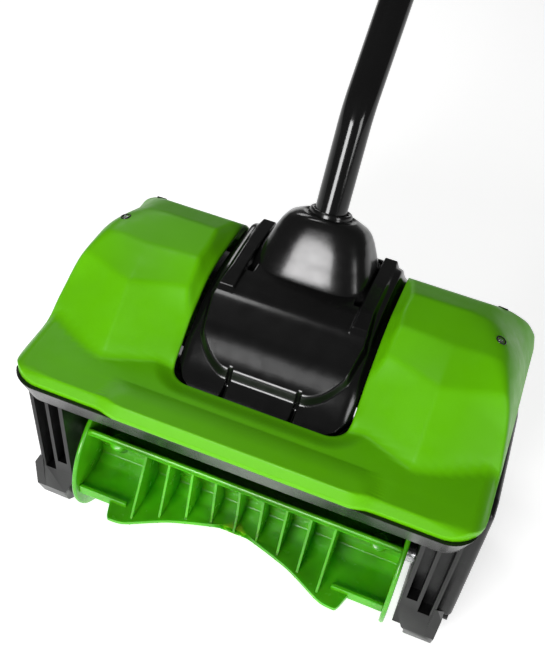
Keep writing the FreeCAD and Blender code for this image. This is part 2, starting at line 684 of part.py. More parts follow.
def make_rotor_bearing(side):
    width = 6.0
    start = FRAME_INNER_X + 0.5 if side > 0 else -FRAME_INNER_X - 0.5 - width
    outer = tube((start, 0, ROTOR_AXIS_Z), (1, 0, 0), 13, 10.4, width)
    inner = tube((start, 0, ROTOR_AXIS_Z), (1, 0, 0), 8.6, 6 + RUNNING_FIT, width)
    web = tube((start + 1, 0, ROTOR_AXIS_Z), (1, 0, 0), 10.4, 8.6, width - 2)
    return joined([outer, inner, web])


def make_axle_nuts():
    solids = []
    for x in (-163, BELT_X1 + 2.2):
        corners = [(8.5 * math.cos(math.radians(60 * i)), 8.5 * math.sin(math.radians(60 * i)))
                   for i in range(6)]
        nut = prism_x([(y, z + ROTOR_AXIS_Z) for y, z in corners], x, x + 4.5)
        solids.append(nut.cut(rod((x - 1, 0, ROTOR_AXIS_Z), (1, 0, 0), 6, 10)))
    return solids


# ---- scraper ----
def make_scraper_bar():
    bar = prism_x([(58.4, 9.2), (64.5, 2.5), (69.5, 2.5), (69.5, 5.5), (78, 30), (74.5, 31.5),
                   (66, 8.5), (60.5, 12)], -FRAME_INNER_X + 1, FRAME_INNER_X - 1)
    bar = bar.cut(rod((-FRAME_INNER_X, 0, ROTOR_AXIS_Z), (1, 0, 0),
                      HOUSING_RADIUS + HOUSING_WALL + 0.02, 2 * FRAME_INNER_X))
    return bar


# ---- shaft ----
def shaft_path(below, above):
    lean = V(*tube_direction())
    upper = V(0, math.sin(math.radians(UPPER_TUBE_LEAN)), math.cos(math.radians(UPPER_TUBE_LEAN)))
    turn = math.radians(UPPER_TUBE_LEAN - LOWER_TUBE_LEAN)
    setback = BEND_RADIUS * math.tan(turn / 2)
    start = BEND_POINT - lean * below
    bend_in = BEND_POINT - lean * setback
    bend_out = BEND_POINT + upper * setback
    end = BEND_POINT + upper * above
    inwards = (upper - lean)
    inwards.normalize()
    middle = BEND_POINT + inwards * (BEND_RADIUS / math.cos(turn / 2) - BEND_RADIUS)
    wire = Part.Wire([Part.makeLine(start, bend_in), Part.Arc(bend_in, middle, bend_out).toShape(),
                      Part.makeLine(bend_out, end)])
    return wire, start, lean


def swept_round(radius, below, above):
    path, start, way = shaft_path(below, above)
    ring = Part.Wire([Part.makeCircle(radius, start, way)])
    return path.makePipeShell([ring], True, False)


def make_lower_tube():
    outer = swept_round(TUBE_RADIUS, LOWER_TUBE_BELOW_BEND, LOWER_TUBE_ABOVE_BEND)
    inner = swept_round(TUBE_RADIUS - TUBE_WALL, LOWER_TUBE_BELOW_BEND + 1,
                        LOWER_TUBE_ABOVE_BEND + 1)
    return outer.cut(inner)


def make_tube_socket():
    """The clamp in the head that the lower tube is bolted into."""
    way = V(*tube_direction())
    start = BEND_POINT - way * (LOWER_TUBE_BELOW_BEND + 5)
    barrel = Part.makeCylinder(TUBE_RADIUS + 3.5, 62, start, way)
    foot = prism_x([(62, 221), (112, 221), (118, 226), (118, 230), (104, 236), (72, 236),
                    (62, 230)], -34, 34)
    socket = joined([barrel, foot])
    for side in (-1, 1):
        leg = prism_x([(50, 176.2), (58, 176.2), (61, 214), (119, 214), (122, 176.2), (130, 176.2),
                       (120, 230), (60, 230)], side * 38 - 4, side * 38 + 4)
        bridge = prism_x([(62, 221), (118, 221), (118, 230), (62, 230)],
                         min(side * 42, side * 30), max(side * 42, side * 30))
        socket = socket.fuse([leg, bridge])
    bore = Part.makeCylinder(TUBE_RADIUS, 80, start + way * 5, way)
    return socket.cut(bore).removeSplitter()


def tube_screw_point():
    way = V(*tube_direction())
    return BEND_POINT - way * (LOWER_TUBE_BELOW_BEND - 11)


def make_tube_screws():
    """Two short screws that pin the tube in its socket without reaching the lead inside."""
    point = tube_screw_point()
    return [screw((side * (TUBE_RADIUS + 3.5), point.y, point.z), (-side, 0, 0), 6)
            for side in (1, -1)]


def tube_screw_hole():
    point = tube_screw_point()
    return rod((-30, point.y, point.z), (1, 0, 0), 1.9, 60)


def make_upper_tube():
    length = UPPER_TUBE_END - LOWER_TUBE_ABOVE_BEND - 0.5
    return on_shaft(tube((0, 0, LOWER_TUBE_ABOVE_BEND + 0.5), (0, 0, 1),
                         TUBE_RADIUS, TUBE_RADIUS - TUBE_WALL, length))


def make_wiring():
    """The two-core lead that runs up inside the shaft from the motor to the handle."""
    return swept_round(3.5, LOWER_TUBE_BELOW_BEND - 2, UPPER_TUBE_END + 12)


COUPLER_Z0 = 108.0
COUPLER_Z1 = 206.0
COUPLER_KNOB_Z = 178.0


def make_shaft_coupler():
    body = tube((0, 0, COUPLER_Z0), (0, 0, 1), 17.5, TUBE_RADIUS, COUPLER_Z1 - COUPLER_Z0)
    ends = [edge for edge in body.Edges
            if edge.Curve.TypeId == "Part::GeomCircle" and edge.Curve.Radius > 17]
    body = body.makeFillet(2.0, ends)
    boss = rod((0, -15, COUPLER_KNOB_Z), (0, -1, 0), 11, 15)
    body = body.fuse(boss).cut(rod((0, 0, COUPLER_Z0 - 1), (0, 0, 1), TUBE_RADIUS, 120))
    body = body.cut(rod((0, -8, COUPLER_KNOB_Z), (0, -1, 0), 4 + RUNNING_FIT, 30))
    return on_shaft(body.removeSplitter())


def lobed_knob(radius, height, lobes, dent):
    """A round knob, standing on z = 0, with scallops cut round its edge."""
    knob = Part.makeCylinder(radius, height)
    for index in range(lobes):
        angle = 2 * math.pi * (index + 0.5) / lobes
        reach = radius + dent * 0.45
        knob = knob.cut(Part.makeCylinder(dent, height + 2, V(reach * math.cos(angle),
                                                              reach * math.sin(angle), -1)))
    return knob


def make_coupler_knob():
    knob = lobed_knob(17, 16, 6, 5)
    stud = Part.makeCylinder(4, 17.2, V(0, 0, -17.2))
    knob = knob.fuse([stud, Part.makeCylinder(9, 4, V(0, 0, 16))]).removeSplitter()
    knob.rotate(V(0, 0, 0), ALONG_X, 90)
    knob.translate(V(0, -30 - MOVING_GAP, COUPLER_KNOB_Z))
    return on_shaft(knob)


# ---- front grip on the shaft ----
GRIP_PIVOT_Y = -36.0
EYE_INNER_X = 16.4
EYE_OUTER_X = 33.0
LOOP_REACH = 158.0
LOOP_HALF_WIDTH = 72.0
KNOB_STAND_OFF = 3.0


def make_aux_clamp_half(upper):
    side = -1 if upper else 1
    y0, y1 = sorted((side * 0.3, side * 22))
    block = box(-25, y0, AUX_CLAMP_Z - 19, 25, y1, AUX_CLAMP_Z + 19)
    block = softened(block, ALONG_Z, 5, lambda m: abs(m.y) > 10)
    if upper:
        lug = box(-16, GRIP_PIVOT_Y - 10, AUX_CLAMP_Z - 11, 16, -18, AUX_CLAMP_Z + 11)
        block = block.fuse(softened(lug, ALONG_X, 8, lambda m: m.y < -30))
        block = block.cut(rod((-20, GRIP_PIVOT_Y, AUX_CLAMP_Z), (1, 0, 0), 4, 40))
    block = block.cut(rod((0, 0, AUX_CLAMP_Z - 30), (0, 0, 1), TUBE_RADIUS, 60))
    for x in (-19, 19):
        for z in (-11, 11):
            block = block.cut(rod((x, -30, AUX_CLAMP_Z + z), (0, 1, 0), 2.1, 60))
    return on_shaft(block.removeSplitter())


def make_aux_clamp_screws():
    return [on_shaft(screw((x, 22, AUX_CLAMP_Z + z), (0, -1, 0), 38))
            for x in (-19, 19) for z in (-11, 11)]


def loop_wire():
    """The loop's centre line in the plane across the shaft."""
    half = LOOP_HALF_WIDTH
    bottom = GRIP_PIVOT_Y - 30
    top = -LOOP_REACH
    corner = 34.0
    dip = corner * (1 - math.sqrt(0.5))
    z = AUX_CLAMP_Z
    neck = (EYE_INNER_X + EYE_OUTER_X) / 2
    points = [V(-neck, GRIP_PIVOT_Y, z), V(-neck, bottom, z), V(-half, bottom - 34, z),
              V(-half, top + corner, z)]
    lines = [Part.makeLine(a, b) for a, b in zip(points, points[1:])]
    left = Part.Arc(points[-1], V(-half + dip, top + dip, z), V(-half + corner, top, z)).toShape()
    bar = Part.makeLine(V(-half + corner, top, z), V(half - corner, top, z))
    right = Part.Arc(V(half - corner, top, z), V(half - dip, top + dip, z),
                     V(half, top + corner, z)).toShape()
    back = [Part.makeLine(V(-b.x, b.y, b.z), V(-a.x, a.y, a.z))
            for a, b in reversed(list(zip(points, points[1:])))]
    return Part.Wire(lines + [left, bar, right] + back)


def make_aux_loop():
    path = loop_wire()
    start = V(-(EYE_INNER_X + EYE_OUTER_X) / 2, GRIP_PIVOT_Y, AUX_CLAMP_Z)
    ring = Part.Wire([Part.makeCircle(8.0, start, V(0, -1, 0))])
    loop = path.makePipeShell([ring], True, False, 1)
    eyes = []
    for side in (1, -1):
        eye_start = min(side * EYE_INNER_X, side * EYE_OUTER_X)
        eyes.append(rod((eye_start, GRIP_PIVOT_Y, AUX_CLAMP_Z), (1, 0, 0), 11,
                        EYE_OUTER_X - EYE_INNER_X))
    loop = loop.fuse(eyes)
    loop = loop.cut(rod((-60, GRIP_PIVOT_Y, AUX_CLAMP_Z), (1, 0, 0), 4 + RUNNING_FIT, 120))
    return on_shaft(loop.removeSplitter())


def make_aux_grip():
    half = LOOP_HALF_WIDTH - 34
    grip = tube((-half, -LOOP_REACH, AUX_CLAMP_Z), (1, 0, 0), 12.5, 8.0, 2 * half)
    ends = [edge for edge in grip.Edges
            if edge.Curve.TypeId == "Part::GeomCircle" and edge.Curve.Radius > 12]
    return on_shaft(grip.makeFillet(2.5, ends))


def make_aux_bolt():
    start = -EYE_OUTER_X - MOVING_GAP - 4
    bolt = rod((start, GRIP_PIVOT_Y, AUX_CLAMP_Z), (1, 0, 0), 4, 80)
    head = rod((start, GRIP_PIVOT_Y, AUX_CLAMP_Z), (1, 0, 0), 8, 4)
    return on_shaft(bolt.fuse(head).removeSplitter())


def make_aux_knob():
    knob = lobed_knob(13, 14, 5, 4)
    knob.translate(V(0, 0, KNOB_STAND_OFF))
    knob = knob.fuse(Part.makeCylinder(9, KNOB_STAND_OFF + 2)).removeSplitter()
    knob = knob.cut(Part.makeCylinder(4 + RUNNING_FIT, 11.5, V(0, 0, -1)))
    knob.rotate(V(0, 0, 0), ALONG_Y, 90)
    knob.translate(V(EYE_OUTER_X + MOVING_GAP, GRIP_PIVOT_Y, AUX_CLAMP_Z))
    return on_shaft(knob)


# ---- rear handle ----
GRIP_HALF_WIDTH = 19.0
DOCK_HALF_WIDTH = 43.0
DOCK_Z0 = 682.0
DOCK_Z1 = 742.0
HANDLE_WALL = 2.6
HANDLE_OUTLINE = [(-21, 498), (-21, 560), (-19, 600), (-19, 668), (-30, 684), (20, 690), (66, 690),
                  (68, 640), (62, 574), (40, 544), (21, 530), (21, 498)]
LOOP_OUTLINE = [(17, 578), (14, 600), (14, 652), (20, 670), (50, 670), (56, 660), (54, 600),
                (46, 582), (30, 566)]
BATTERY_X = 38.0
BATTERY_Y0 = -30.0
BATTERY_Y1 = 64.0
BATTERY_Z0 = 700.0
BATTERY_Z1 = 812.0


def handle_solid():
    grip = prism_x(HANDLE_OUTLINE, -GRIP_HALF_WIDTH, GRIP_HALF_WIDTH)
    grip = softened(grip, ALONG_X, 6, lambda m: 505 < m.z < 600 and m.y > 0)
    dock = box(-DOCK_HALF_WIDTH, -35, DOCK_Z0, DOCK_HALF_WIDTH, 69, DOCK_Z1)
    dock = softened(dock, ALONG_Z, 10)
    body = joined([grip, dock])
    opening = prism_x(LOOP_OUTLINE, -40, 40)
    opening = softened(opening, ALONG_X, 5)
    return body.cut(opening)


def handle_hollow():
    """The space inside: tube bore, electronics room in the grip, guard and battery bay."""
    inner = GRIP_HALF_WIDTH - HANDLE_WALL
    grip = prism_x([(-16, 562), (-16, 684), (10.5, 684), (10.5, 600), (14, 570), (24, 556),
                    (14, 560)], -inner, inner)
    guard = prism_x([(58, 600), (60, 660), (62, 680), (64, 680), (64.5, 640), (60, 590)],
                    -inner, inner)
    bay = box(-BATTERY_X - 0.6, BATTERY_Y0 - 0.6, BATTERY_Z0 - 0.6,
              BATTERY_X + 0.6, BATTERY_Y1 + 0.6, DOCK_Z1 + 1)
    bore = rod((0, 0, 490), (0, 0, 1), TUBE_RADIUS, UPPER_TUBE_END + 2 - 490)
    cable_way = rod((0, 0, 550), (0, 0, 1), 8, 20)
    wire_way = box(-9, -10, 680, 9, 8, 702)
    terminal_seat = box(-22.2, 5.8, BATTERY_Z0 - 12.2, 22.2, 26.2, BATTERY_Z0)
    return [grip, guard, bay, bore, cable_way, wire_way, terminal_seat]


TRIGGER_PIVOT = (7.0, 596.0)
LOCK_Z = 612.0
HANDLE_SCREWS = [(-17, 515), (17, 515), (61, 690), (-26, 690), (50, 556)]
# Ribs inside the grip as (y0, z0, y1, z1, inner x): lock spring, trigger spring, switch, board.
INSIDE_RIBS = [(-4.5, 615.5, -2.8, 622.5, 0), (-5.2, 640.5, -3.5, 648.5, 0), (-8.5, 627, -3.2, 636, 6.1),
               (-15, 645, -12.5, 675, 12.1)]


def make_handle_shell(side):
    shell = handle_solid()
    for hollow in handle_hollow():
        shell = shell.cut(hollow)
    shell = shell.cut(box(-8, 5, 588, 8, 20, 652))
    shell = shell.cut(box(-6.5, -25, LOCK_Z - 9.5, 6.5, -14, LOCK_Z + 9.5))
    half = box(0, -100, 400, 100, 200, 900) if side > 0 else box(-100, -100, 400, 0, 200, 900)
    shell = shell.common(half)
    pin_y, pin_z = TRIGGER_PIVOT
    boss = rod((8.5 if side > 0 else -16.5, pin_y, pin_z), (1, 0, 0), 4.5, 8)
    shell = shell.fuse(boss).cut(rod((-20, pin_y, pin_z), (1, 0, 0), 2, 40))
    for y0, z0, y1, z1, inner_x in INSIDE_RIBS:
        rib = box(inner_x, y0, z0, GRIP_HALF_WIDTH - 1, y1, z1)
        shell = shell.fuse(rib if side > 0 else mirrored(rib))
    for y, z in HANDLE_SCREWS:
        shell = shell.cut(rod((-50, y, z), (1, 0, 0), 1.9, 100))
        start = 15.0
        shell = shell.cut(rod((start, y, z), (1, 0, 0), 3.8, 40))
    return on_shaft(max(shell.removeSplitter().Solids, key=lambda solid: solid.Volume))


def make_handle_screws():
    return [on_shaft(screw((15, y, z), (-1, 0, 0), 26, 3.6, 1.8, 2.4)) for y, z in HANDLE_SCREWS]


def make_trigger():
    lever = prism_x([(3, 594), (8, 590), (13, 592), (21, 604), (24, 622), (22, 640), (15, 648),
                     (8, 648), (8, 612), (3, 606)], -7.4, 7.4)
    lever = softened(lever, ALONG_X, 2.5, lambda m: m.y > 18)
    pin_y, pin_z = TRIGGER_PIVOT
    lever = lever.cut(rod((-10, pin_y, pin_z), (1, 0, 0), 2 + RUNNING_FIT, 20))
    return on_shaft(lever)


def make_trigger_pin():
    pin_y, pin_z = TRIGGER_PIVOT
    return on_shaft(rod((-16, pin_y, pin_z), (1, 0, 0), 2, 32))


def coil(start, direction, radius, wire_radius, turns, height):
    """A compression spring: a helix of round wire."""
    helix = Part.makeHelix(height / turns, height, radius)
    ring = Part.Wire([Part.makeCircle(wire_radius, V(radius, 0, 0), V(0, 1, 0))])
    spring = Part.Wire(helix.Edges).makePipeShell([ring], True, True)
    placement = FreeCAD.Placement(V(*start), FreeCAD.Rotation(ALONG_Z, V(*direction)))
    spring.Placement = placement
    return spring


def make_trigger_spring():
    return on_shaft(coil((0, -3, 644.5), (0, 1, 0), 3, 0.5, 5, 10))


def make_lock_button():
    cap = box(-6, -24, LOCK_Z - 9, 6, -15.5, LOCK_Z + 9)
    cap = softened(cap, ALONG_Y, 3)
    flange = box(-8, -15.5, LOCK_Z - 11, 8, -13.5, LOCK_Z + 11)
    stem = box(-3, -13.5, LOCK_Z - 3, 3, -8, LOCK_Z + 3)
    return on_shaft(joined([cap, flange, stem]))


def make_lock_spring():
    return on_shaft(coil((0, -12.9, LOCK_Z + 7), (0, 1, 0), 2.6, 0.5, 4, 8))


def make_switch():
    body = box(-6, -8.5, 625, 6, -3.2, 638)
    plunger = box(-1.5, -3.2, 629, 1.5, 1.5, 633)
    legs = [box(x - 0.6, -11, 630, x + 0.6, -8.5, 632) for x in (-4, 0, 4)]
    return on_shaft(joined([body, plunger] + legs))


def make_control_board():
    board = box(-12, -14.5, 640, 12, -13, 680)
    parts = [box(-9, -13, 646, -3, -8, 652), box(2, -13, 646, 9, -7, 656),
             box(-8, -13, 660, 8, -10, 674)]
    return on_shaft(joined([board] + parts))


def make_terminal_block():
    block = box(-22, 6, BATTERY_Z0 - 12, 22, 26, BATTERY_Z0 - 0.6)
    blades = [box(x - 0.8, 10, BATTERY_Z0 - 0.6, x + 0.8, 22, BATTERY_Z0 + 12)
              for x in (-15, -5, 5, 15)]
    return on_shaft(joined([block] + blades))


def make_grip_pad():
    """The soft moulded pad over the back of the grip."""
    pad = prism_x([(-20.9, 628), (-20.9, 663), (-19.0, 666), (-19.0, 625)], -14, 14)
    return on_shaft(pad)


# ---- battery ----
BATTERY_SPLIT_Y = 17.0


def battery_block():
    block = box(-BATTERY_X, BATTERY_Y0, BATTERY_Z0, BATTERY_X, BATTERY_Y1, BATTERY_Z1)
    block = softened(block, ALONG_Z, 6)
    head = box(-DOCK_HALF_WIDTH, -35, DOCK_Z1 + 0.5, DOCK_HALF_WIDTH, 69, BATTERY_Z1)
    head = softened(head, ALONG_Z, 10)
    top = [edge for edge in head.Edges if edge.BoundBox.ZMin > BATTERY_Z1 - 0.01]
    head = head.makeFillet(5, top)
    trimmed = block.common(box(-60, -60, BATTERY_Z0, 60, 90, BATTERY_Z1 - 8))
    return joined([trimmed, head])


def make_battery_half(upper):
    wall = 2.4
    room = box(-BATTERY_X + wall, BATTERY_Y0 + wall, BATTERY_Z0 + wall,
               BATTERY_X - wall, BATTERY_Y1 - wall, BATTERY_Z1 - wall)
    shell = battery_block().cut(room)
    if upper:
        part = box(-60, -60, 600, 60, BATTERY_SPLIT_Y, 900)
    else:
        part = box(-60, BATTERY_SPLIT_Y, 600, 60, 100, 900)
    shell = shell.common(part)
    if upper:
        shell = shell.cut(box(-14.4, -40, 762, 14.4, BATTERY_Y0 + wall + 1, 786))
        for x in (-15, -5, 5, 15):
            shell = shell.cut(box(x - 1.6, 9, BATTERY_Z0 - 1, x + 1.6, 17.01, BATTERY_Z0 + 16))
    else:
        for x in (-15, -5, 5, 15):
            shell = shell.cut(box(x - 1.6, 16.99, BATTERY_Z0 - 1, x + 1.6, 23, BATTERY_Z0 + 16))
    return on_shaft(shell.removeSplitter())


def make_battery_cells():
    cells = []
    for row in range(4):
        for column in range(5):
            y = BATTERY_Y0 + 20 + row * 18.6
            z = BATTERY_Z0 + 24 + column * 18.6
            cells.append(on_shaft(rod((-32.5, y, z), (1, 0, 0), 9.2, 65)))
    return cells


def make_battery_latch():
    button = box(-14, -38.5, 762.4, 14, -33, 785.6)
    button = softened(button, ALONG_Y, 3)
    stem = box(-10, -33, 766, 10, -29.2, 782)
    return on_shaft(joined([button, stem]))


# ---- all sub-parts ----
def build_nodes():
    motor_side = with_posts(make_motor_side_frame(), 1)
    plain_side = with_posts(make_side_frame(), -1)
    screw_holes = tube_screw_hole()
    return {
        "auger_housing": make_auger_housing(),
        "left_side_frame": plain_side,
        "right_side_frame": motor_side,
        "belt_cover": make_belt_cover(),
        "belt_cover_screws": make_cover_screws(),
        "left_end_plate": make_end_plate(),
        "left_end_plate_screws": make_end_plate_screws(),
        "top_hood": make_top_hood(),
        "hood_screws": make_hood_screws(),
        "motor_cover": make_motor_cover(),
        "tube_boot": make_tube_boot(),
        "rear_cover": make_rear_cover(),
        "scraper_bar": make_scraper_bar(),
        "motor_mount": make_motor_mount(),
        "motor_straps": make_motor_straps(),
        "motor_can": make_motor_can(),
        "motor_magnets": make_motor_magnets(),
        "motor_bearings": make_motor_bearings(),
        "motor_shaft": make_motor_shaft(),
        "motor_armature": make_motor_armature(),
        "motor_fan": make_motor_fan(),
        "motor_pulley": make_motor_pulley(),
        "drive_belt": make_drive_belt(),
        "rotor_pulley": make_rotor_pulley(),
        "rotor_moulding": make_rotor_moulding(),
        "rotor_axle": make_rotor_axle(),
        "axle_spacers": make_axle_spacers(),
        "axle_nuts": make_axle_nuts(),
        "left_rotor_bearing": make_rotor_bearing(-1),
        "right_rotor_bearing": make_rotor_bearing(1),
        "tube_socket": make_tube_socket().cut(screw_holes),
        "tube_screws": make_tube_screws(),
        "lower_tube": make_lower_tube().cut(screw_holes),
        "shaft_coupler": make_shaft_coupler(),
        "coupler_knob": make_coupler_knob(),
        "upper_tube": make_upper_tube(),
        "wiring": make_wiring(),
        "aux_clamp_upper": make_aux_clamp_half(True),
        "aux_clamp_lower": make_aux_clamp_half(False),
        "aux_clamp_screws": make_aux_clamp_screws(),
        "aux_loop": make_aux_loop(),
        "aux_grip": make_aux_grip(),
        "aux_bolt": make_aux_bolt(),
        "aux_knob": make_aux_knob(),
        "handle_shell_left": make_handle_shell(-1),
        "handle_shell_right": make_handle_shell(1),
        "handle_screws": make_handle_screws(),
        "grip_pad": make_grip_pad(),
        "trigger": make_trigger(),
        "trigger_pin": make_trigger_pin(),
        "trigger_spring": make_trigger_spring(),
        "lock_button": make_lock_button(),
        "lock_spring": make_lock_spring(),
        "trigger_switch": make_switch(),
        "control_board": make_control_board(),
        "terminal_block": make_terminal_block(),
        "battery_case_upper": make_battery_half(True),
        "battery_case_lower": make_battery_half(False),
        "battery_cells": make_battery_cells(),
        "battery_latch": make_battery_latch(),
    }


os.makedirs("parts", exist_ok=True)
for name, shape in build_nodes().items():
    if isinstance(shape, list):
        shape = Part.makeCompound(shape)
    shape.translate(TO_BOX_CENTRE)
    solids = shape.Solids
    print(f"{name:24s} solids {len(solids):3d} volume {sum(s.Volume for s in solids) / 1000:9.2f} cm3"
          f" valid {shape.isValid()}")
    shape.exportStep(f"parts/{name}.step")
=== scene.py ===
import json
import math

import bmesh
import bpy
import numpy as np
from mathutils import Matrix, Vector

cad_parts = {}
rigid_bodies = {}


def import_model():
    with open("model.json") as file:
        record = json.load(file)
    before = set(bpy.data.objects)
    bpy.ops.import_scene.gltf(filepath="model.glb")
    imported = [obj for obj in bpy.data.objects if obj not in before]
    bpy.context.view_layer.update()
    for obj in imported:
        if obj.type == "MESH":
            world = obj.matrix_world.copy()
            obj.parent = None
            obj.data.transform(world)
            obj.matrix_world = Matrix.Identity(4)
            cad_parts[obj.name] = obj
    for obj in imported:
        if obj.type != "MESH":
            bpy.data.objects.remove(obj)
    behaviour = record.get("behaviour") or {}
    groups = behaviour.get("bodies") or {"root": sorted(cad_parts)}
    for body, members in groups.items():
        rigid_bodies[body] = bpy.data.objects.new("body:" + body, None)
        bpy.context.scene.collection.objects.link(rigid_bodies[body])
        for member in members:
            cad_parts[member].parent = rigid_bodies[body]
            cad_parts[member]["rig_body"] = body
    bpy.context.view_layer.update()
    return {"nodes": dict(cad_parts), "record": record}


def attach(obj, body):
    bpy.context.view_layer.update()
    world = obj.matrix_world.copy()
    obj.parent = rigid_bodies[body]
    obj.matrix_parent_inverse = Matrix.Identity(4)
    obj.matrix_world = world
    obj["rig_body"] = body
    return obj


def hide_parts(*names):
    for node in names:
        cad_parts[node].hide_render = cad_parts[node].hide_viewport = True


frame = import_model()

bl_info = {
    "name": "Cordless Snow Shovel",
    "version": (1, 0, 0),
    "blender": (4, 5, 0),
    "location": "3D View > Sidebar > Snow Shovel",
    "description": "Dresses the packed snow shovel with its moulded shells and finishes",
    "category": "Add Mesh",
}

# where the ground point under the rotor's axis stands in the frame, metres
DRAWING_POINT = (-0.003, -0.34464, 0.0)


# ---- the user's sizes and colours ----
def colour_property(name, description, default):
    return bpy.props.FloatVectorProperty(name=name, description=description, default=default,
                                         size=3, min=0.0, max=1.0, subtype="COLOR")


class ShovelColours(bpy.types.PropertyGroup):
    """Base colours of the main finishes."""
    hood_green: colour_property("Hood green", "Lime green of the moulded hood", (0.105, 0.42, 0.0))
    rotor_green: colour_property("Rotor green", "Deep green of the rotor", (0.070, 0.37, 0.004))
    gloss_black: colour_property("Gloss black", "Motor cover, boot and shaft", (0.004, 0.004, 0.004))
    satin_black: colour_property("Satin black", "Auger housing and rear cover", (0.006, 0.006, 0.006))
    frame_grey: colour_property("Frame grey", "Side frames and belt cover", (0.010, 0.010, 0.010))


class StageSettings(bpy.types.PropertyGroup):
    """Camera and floor."""
    camera_position: bpy.props.FloatVectorProperty(
        name="Camera position", description="Where the camera stands", size=3, unit="LENGTH",
        default=(0.12736, -0.81329, 0.74225))
    azimuth: bpy.props.FloatProperty(name="Azimuth", description="Turn of the view about +Z from the front",
                                     default=math.radians(15.793), subtype="ANGLE")
    elevation: bpy.props.FloatProperty(name="Elevation", description="Downward tilt of the view",
                                       default=math.radians(43.898), subtype="ANGLE")
    roll: bpy.props.FloatProperty(name="Roll", description="Turn of the picture about the line of sight",
                                  default=math.radians(7.835), subtype="ANGLE")
    lens: bpy.props.FloatProperty(name="Lens", description="Focal length for a 36 mm film side",
                                  default=52.615, unit="CAMERA")
    floor_half: bpy.props.FloatProperty(name="Floor half size", description="Half the floor's side",
                                        default=6.0, unit="LENGTH")


# ---- finishes ----
def link(tree, source, target):
    tree.links.new(source, target)


def noise(tree, vector, scale, detail, stretch=None):
    """A noise pattern on the piece's own coordinates, drawn out along an axis where stretch says."""
    if stretch is not None:
        mapping = tree.nodes.new("ShaderNodeMapping")
        mapping.inputs["Scale"].default_value = stretch
        link(tree, vector, mapping.inputs["Vector"])
        vector = mapping.outputs["Vector"]
    node = tree.nodes.new("ShaderNodeTexNoise")
    node.inputs["Scale"].default_value = scale
    node.inputs["Detail"].default_value = detail
    link(tree, vector, node.inputs["Vector"])
    return node.outputs["Fac"]


def ramp(tree, value, low, high, from_low=0.3, from_high=0.7):
    node = tree.nodes.new("ShaderNodeMapRange")
    node.inputs["From Min"].default_value = from_low
    node.inputs["From Max"].default_value = from_high
    node.inputs["To Min"].default_value = low
    node.inputs["To Max"].default_value = high
    link(tree, value, node.inputs["Value"])
    return node.outputs["Result"]


def mixed_colour(tree, factor, first, second):
    node = tree.nodes.new("ShaderNodeMix")
    node.data_type = "RGBA"
    link(tree, factor, node.inputs["Factor"])
    for socket, value in ((node.inputs[6], first), (node.inputs[7], second)):
        if isinstance(value, (tuple, list)):
            socket.default_value = (*value, 1.0)
        else:
            link(tree, value, socket)
    return node.outputs[2]


def shade(colour, amount):
    return tuple(min(1.0, max(0.0, channel * amount)) for channel in colour)


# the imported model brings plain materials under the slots' own names, so the finishes take others
FINISH_ENDING = "_finish"


def finish(name, colour, roughness, grain=1400.0, depth=0.00004, mottle=0.12, wear=0.0, stretch=None,
           fixed=()):
    """A surface finish: mottled colour, fine grain in the bump, uneven gloss and light wear.

    fixed holds (socket name, value) pairs that are the same all over the surface."""
    material = bpy.data.materials.new(name + FINISH_ENDING)
    material.use_nodes = True
    tree = material.node_tree
    shader = tree.nodes["Principled BSDF"]
    for socket, value in fixed:
        shader.inputs[socket].default_value = value
    place = tree.nodes.new("ShaderNodeTexCoord").outputs["Object"]
    broad = noise(tree, place, 22.0, 3.0)
    tone = mixed_colour(tree, ramp(tree, broad, 0.0, 1.0), shade(colour, 1.0 - mottle),
                        shade(colour, 1.0 + mottle))
    scuffs = noise(tree, place, 60.0, 6.0, (1.0, 9.0, 3.0))
    scuff_mask = ramp(tree, scuffs, 0.0, 1.0, 0.62, 0.78)
    if wear:
        worn = shade(tuple(channel + 0.10 for channel in colour), 1.3)
        faint = tree.nodes.new("ShaderNodeMath")
        faint.operation = "MULTIPLY"
        faint.inputs[1].default_value = wear
        link(tree, scuff_mask, faint.inputs[0])
        tone = mixed_colour(tree, faint.outputs[0], tone, worn)
    link(tree, tone, shader.inputs["Base Color"])
    gloss = noise(tree, place, 90.0, 4.0)
    link(tree, ramp(tree, gloss, roughness * 0.86, min(1.0, roughness * 1.18)), shader.inputs["Roughness"])
    fine = noise(tree, place, grain, 2.0, stretch)
    bump = tree.nodes.new("ShaderNodeBump")
    bump.inputs["Strength"].default_value = 1.0
    bump.inputs["Distance"].default_value = depth
    link(tree, fine, bump.inputs["Height"])
    link(tree, bump.outputs["Normal"], shader.inputs["Normal"])
    return material


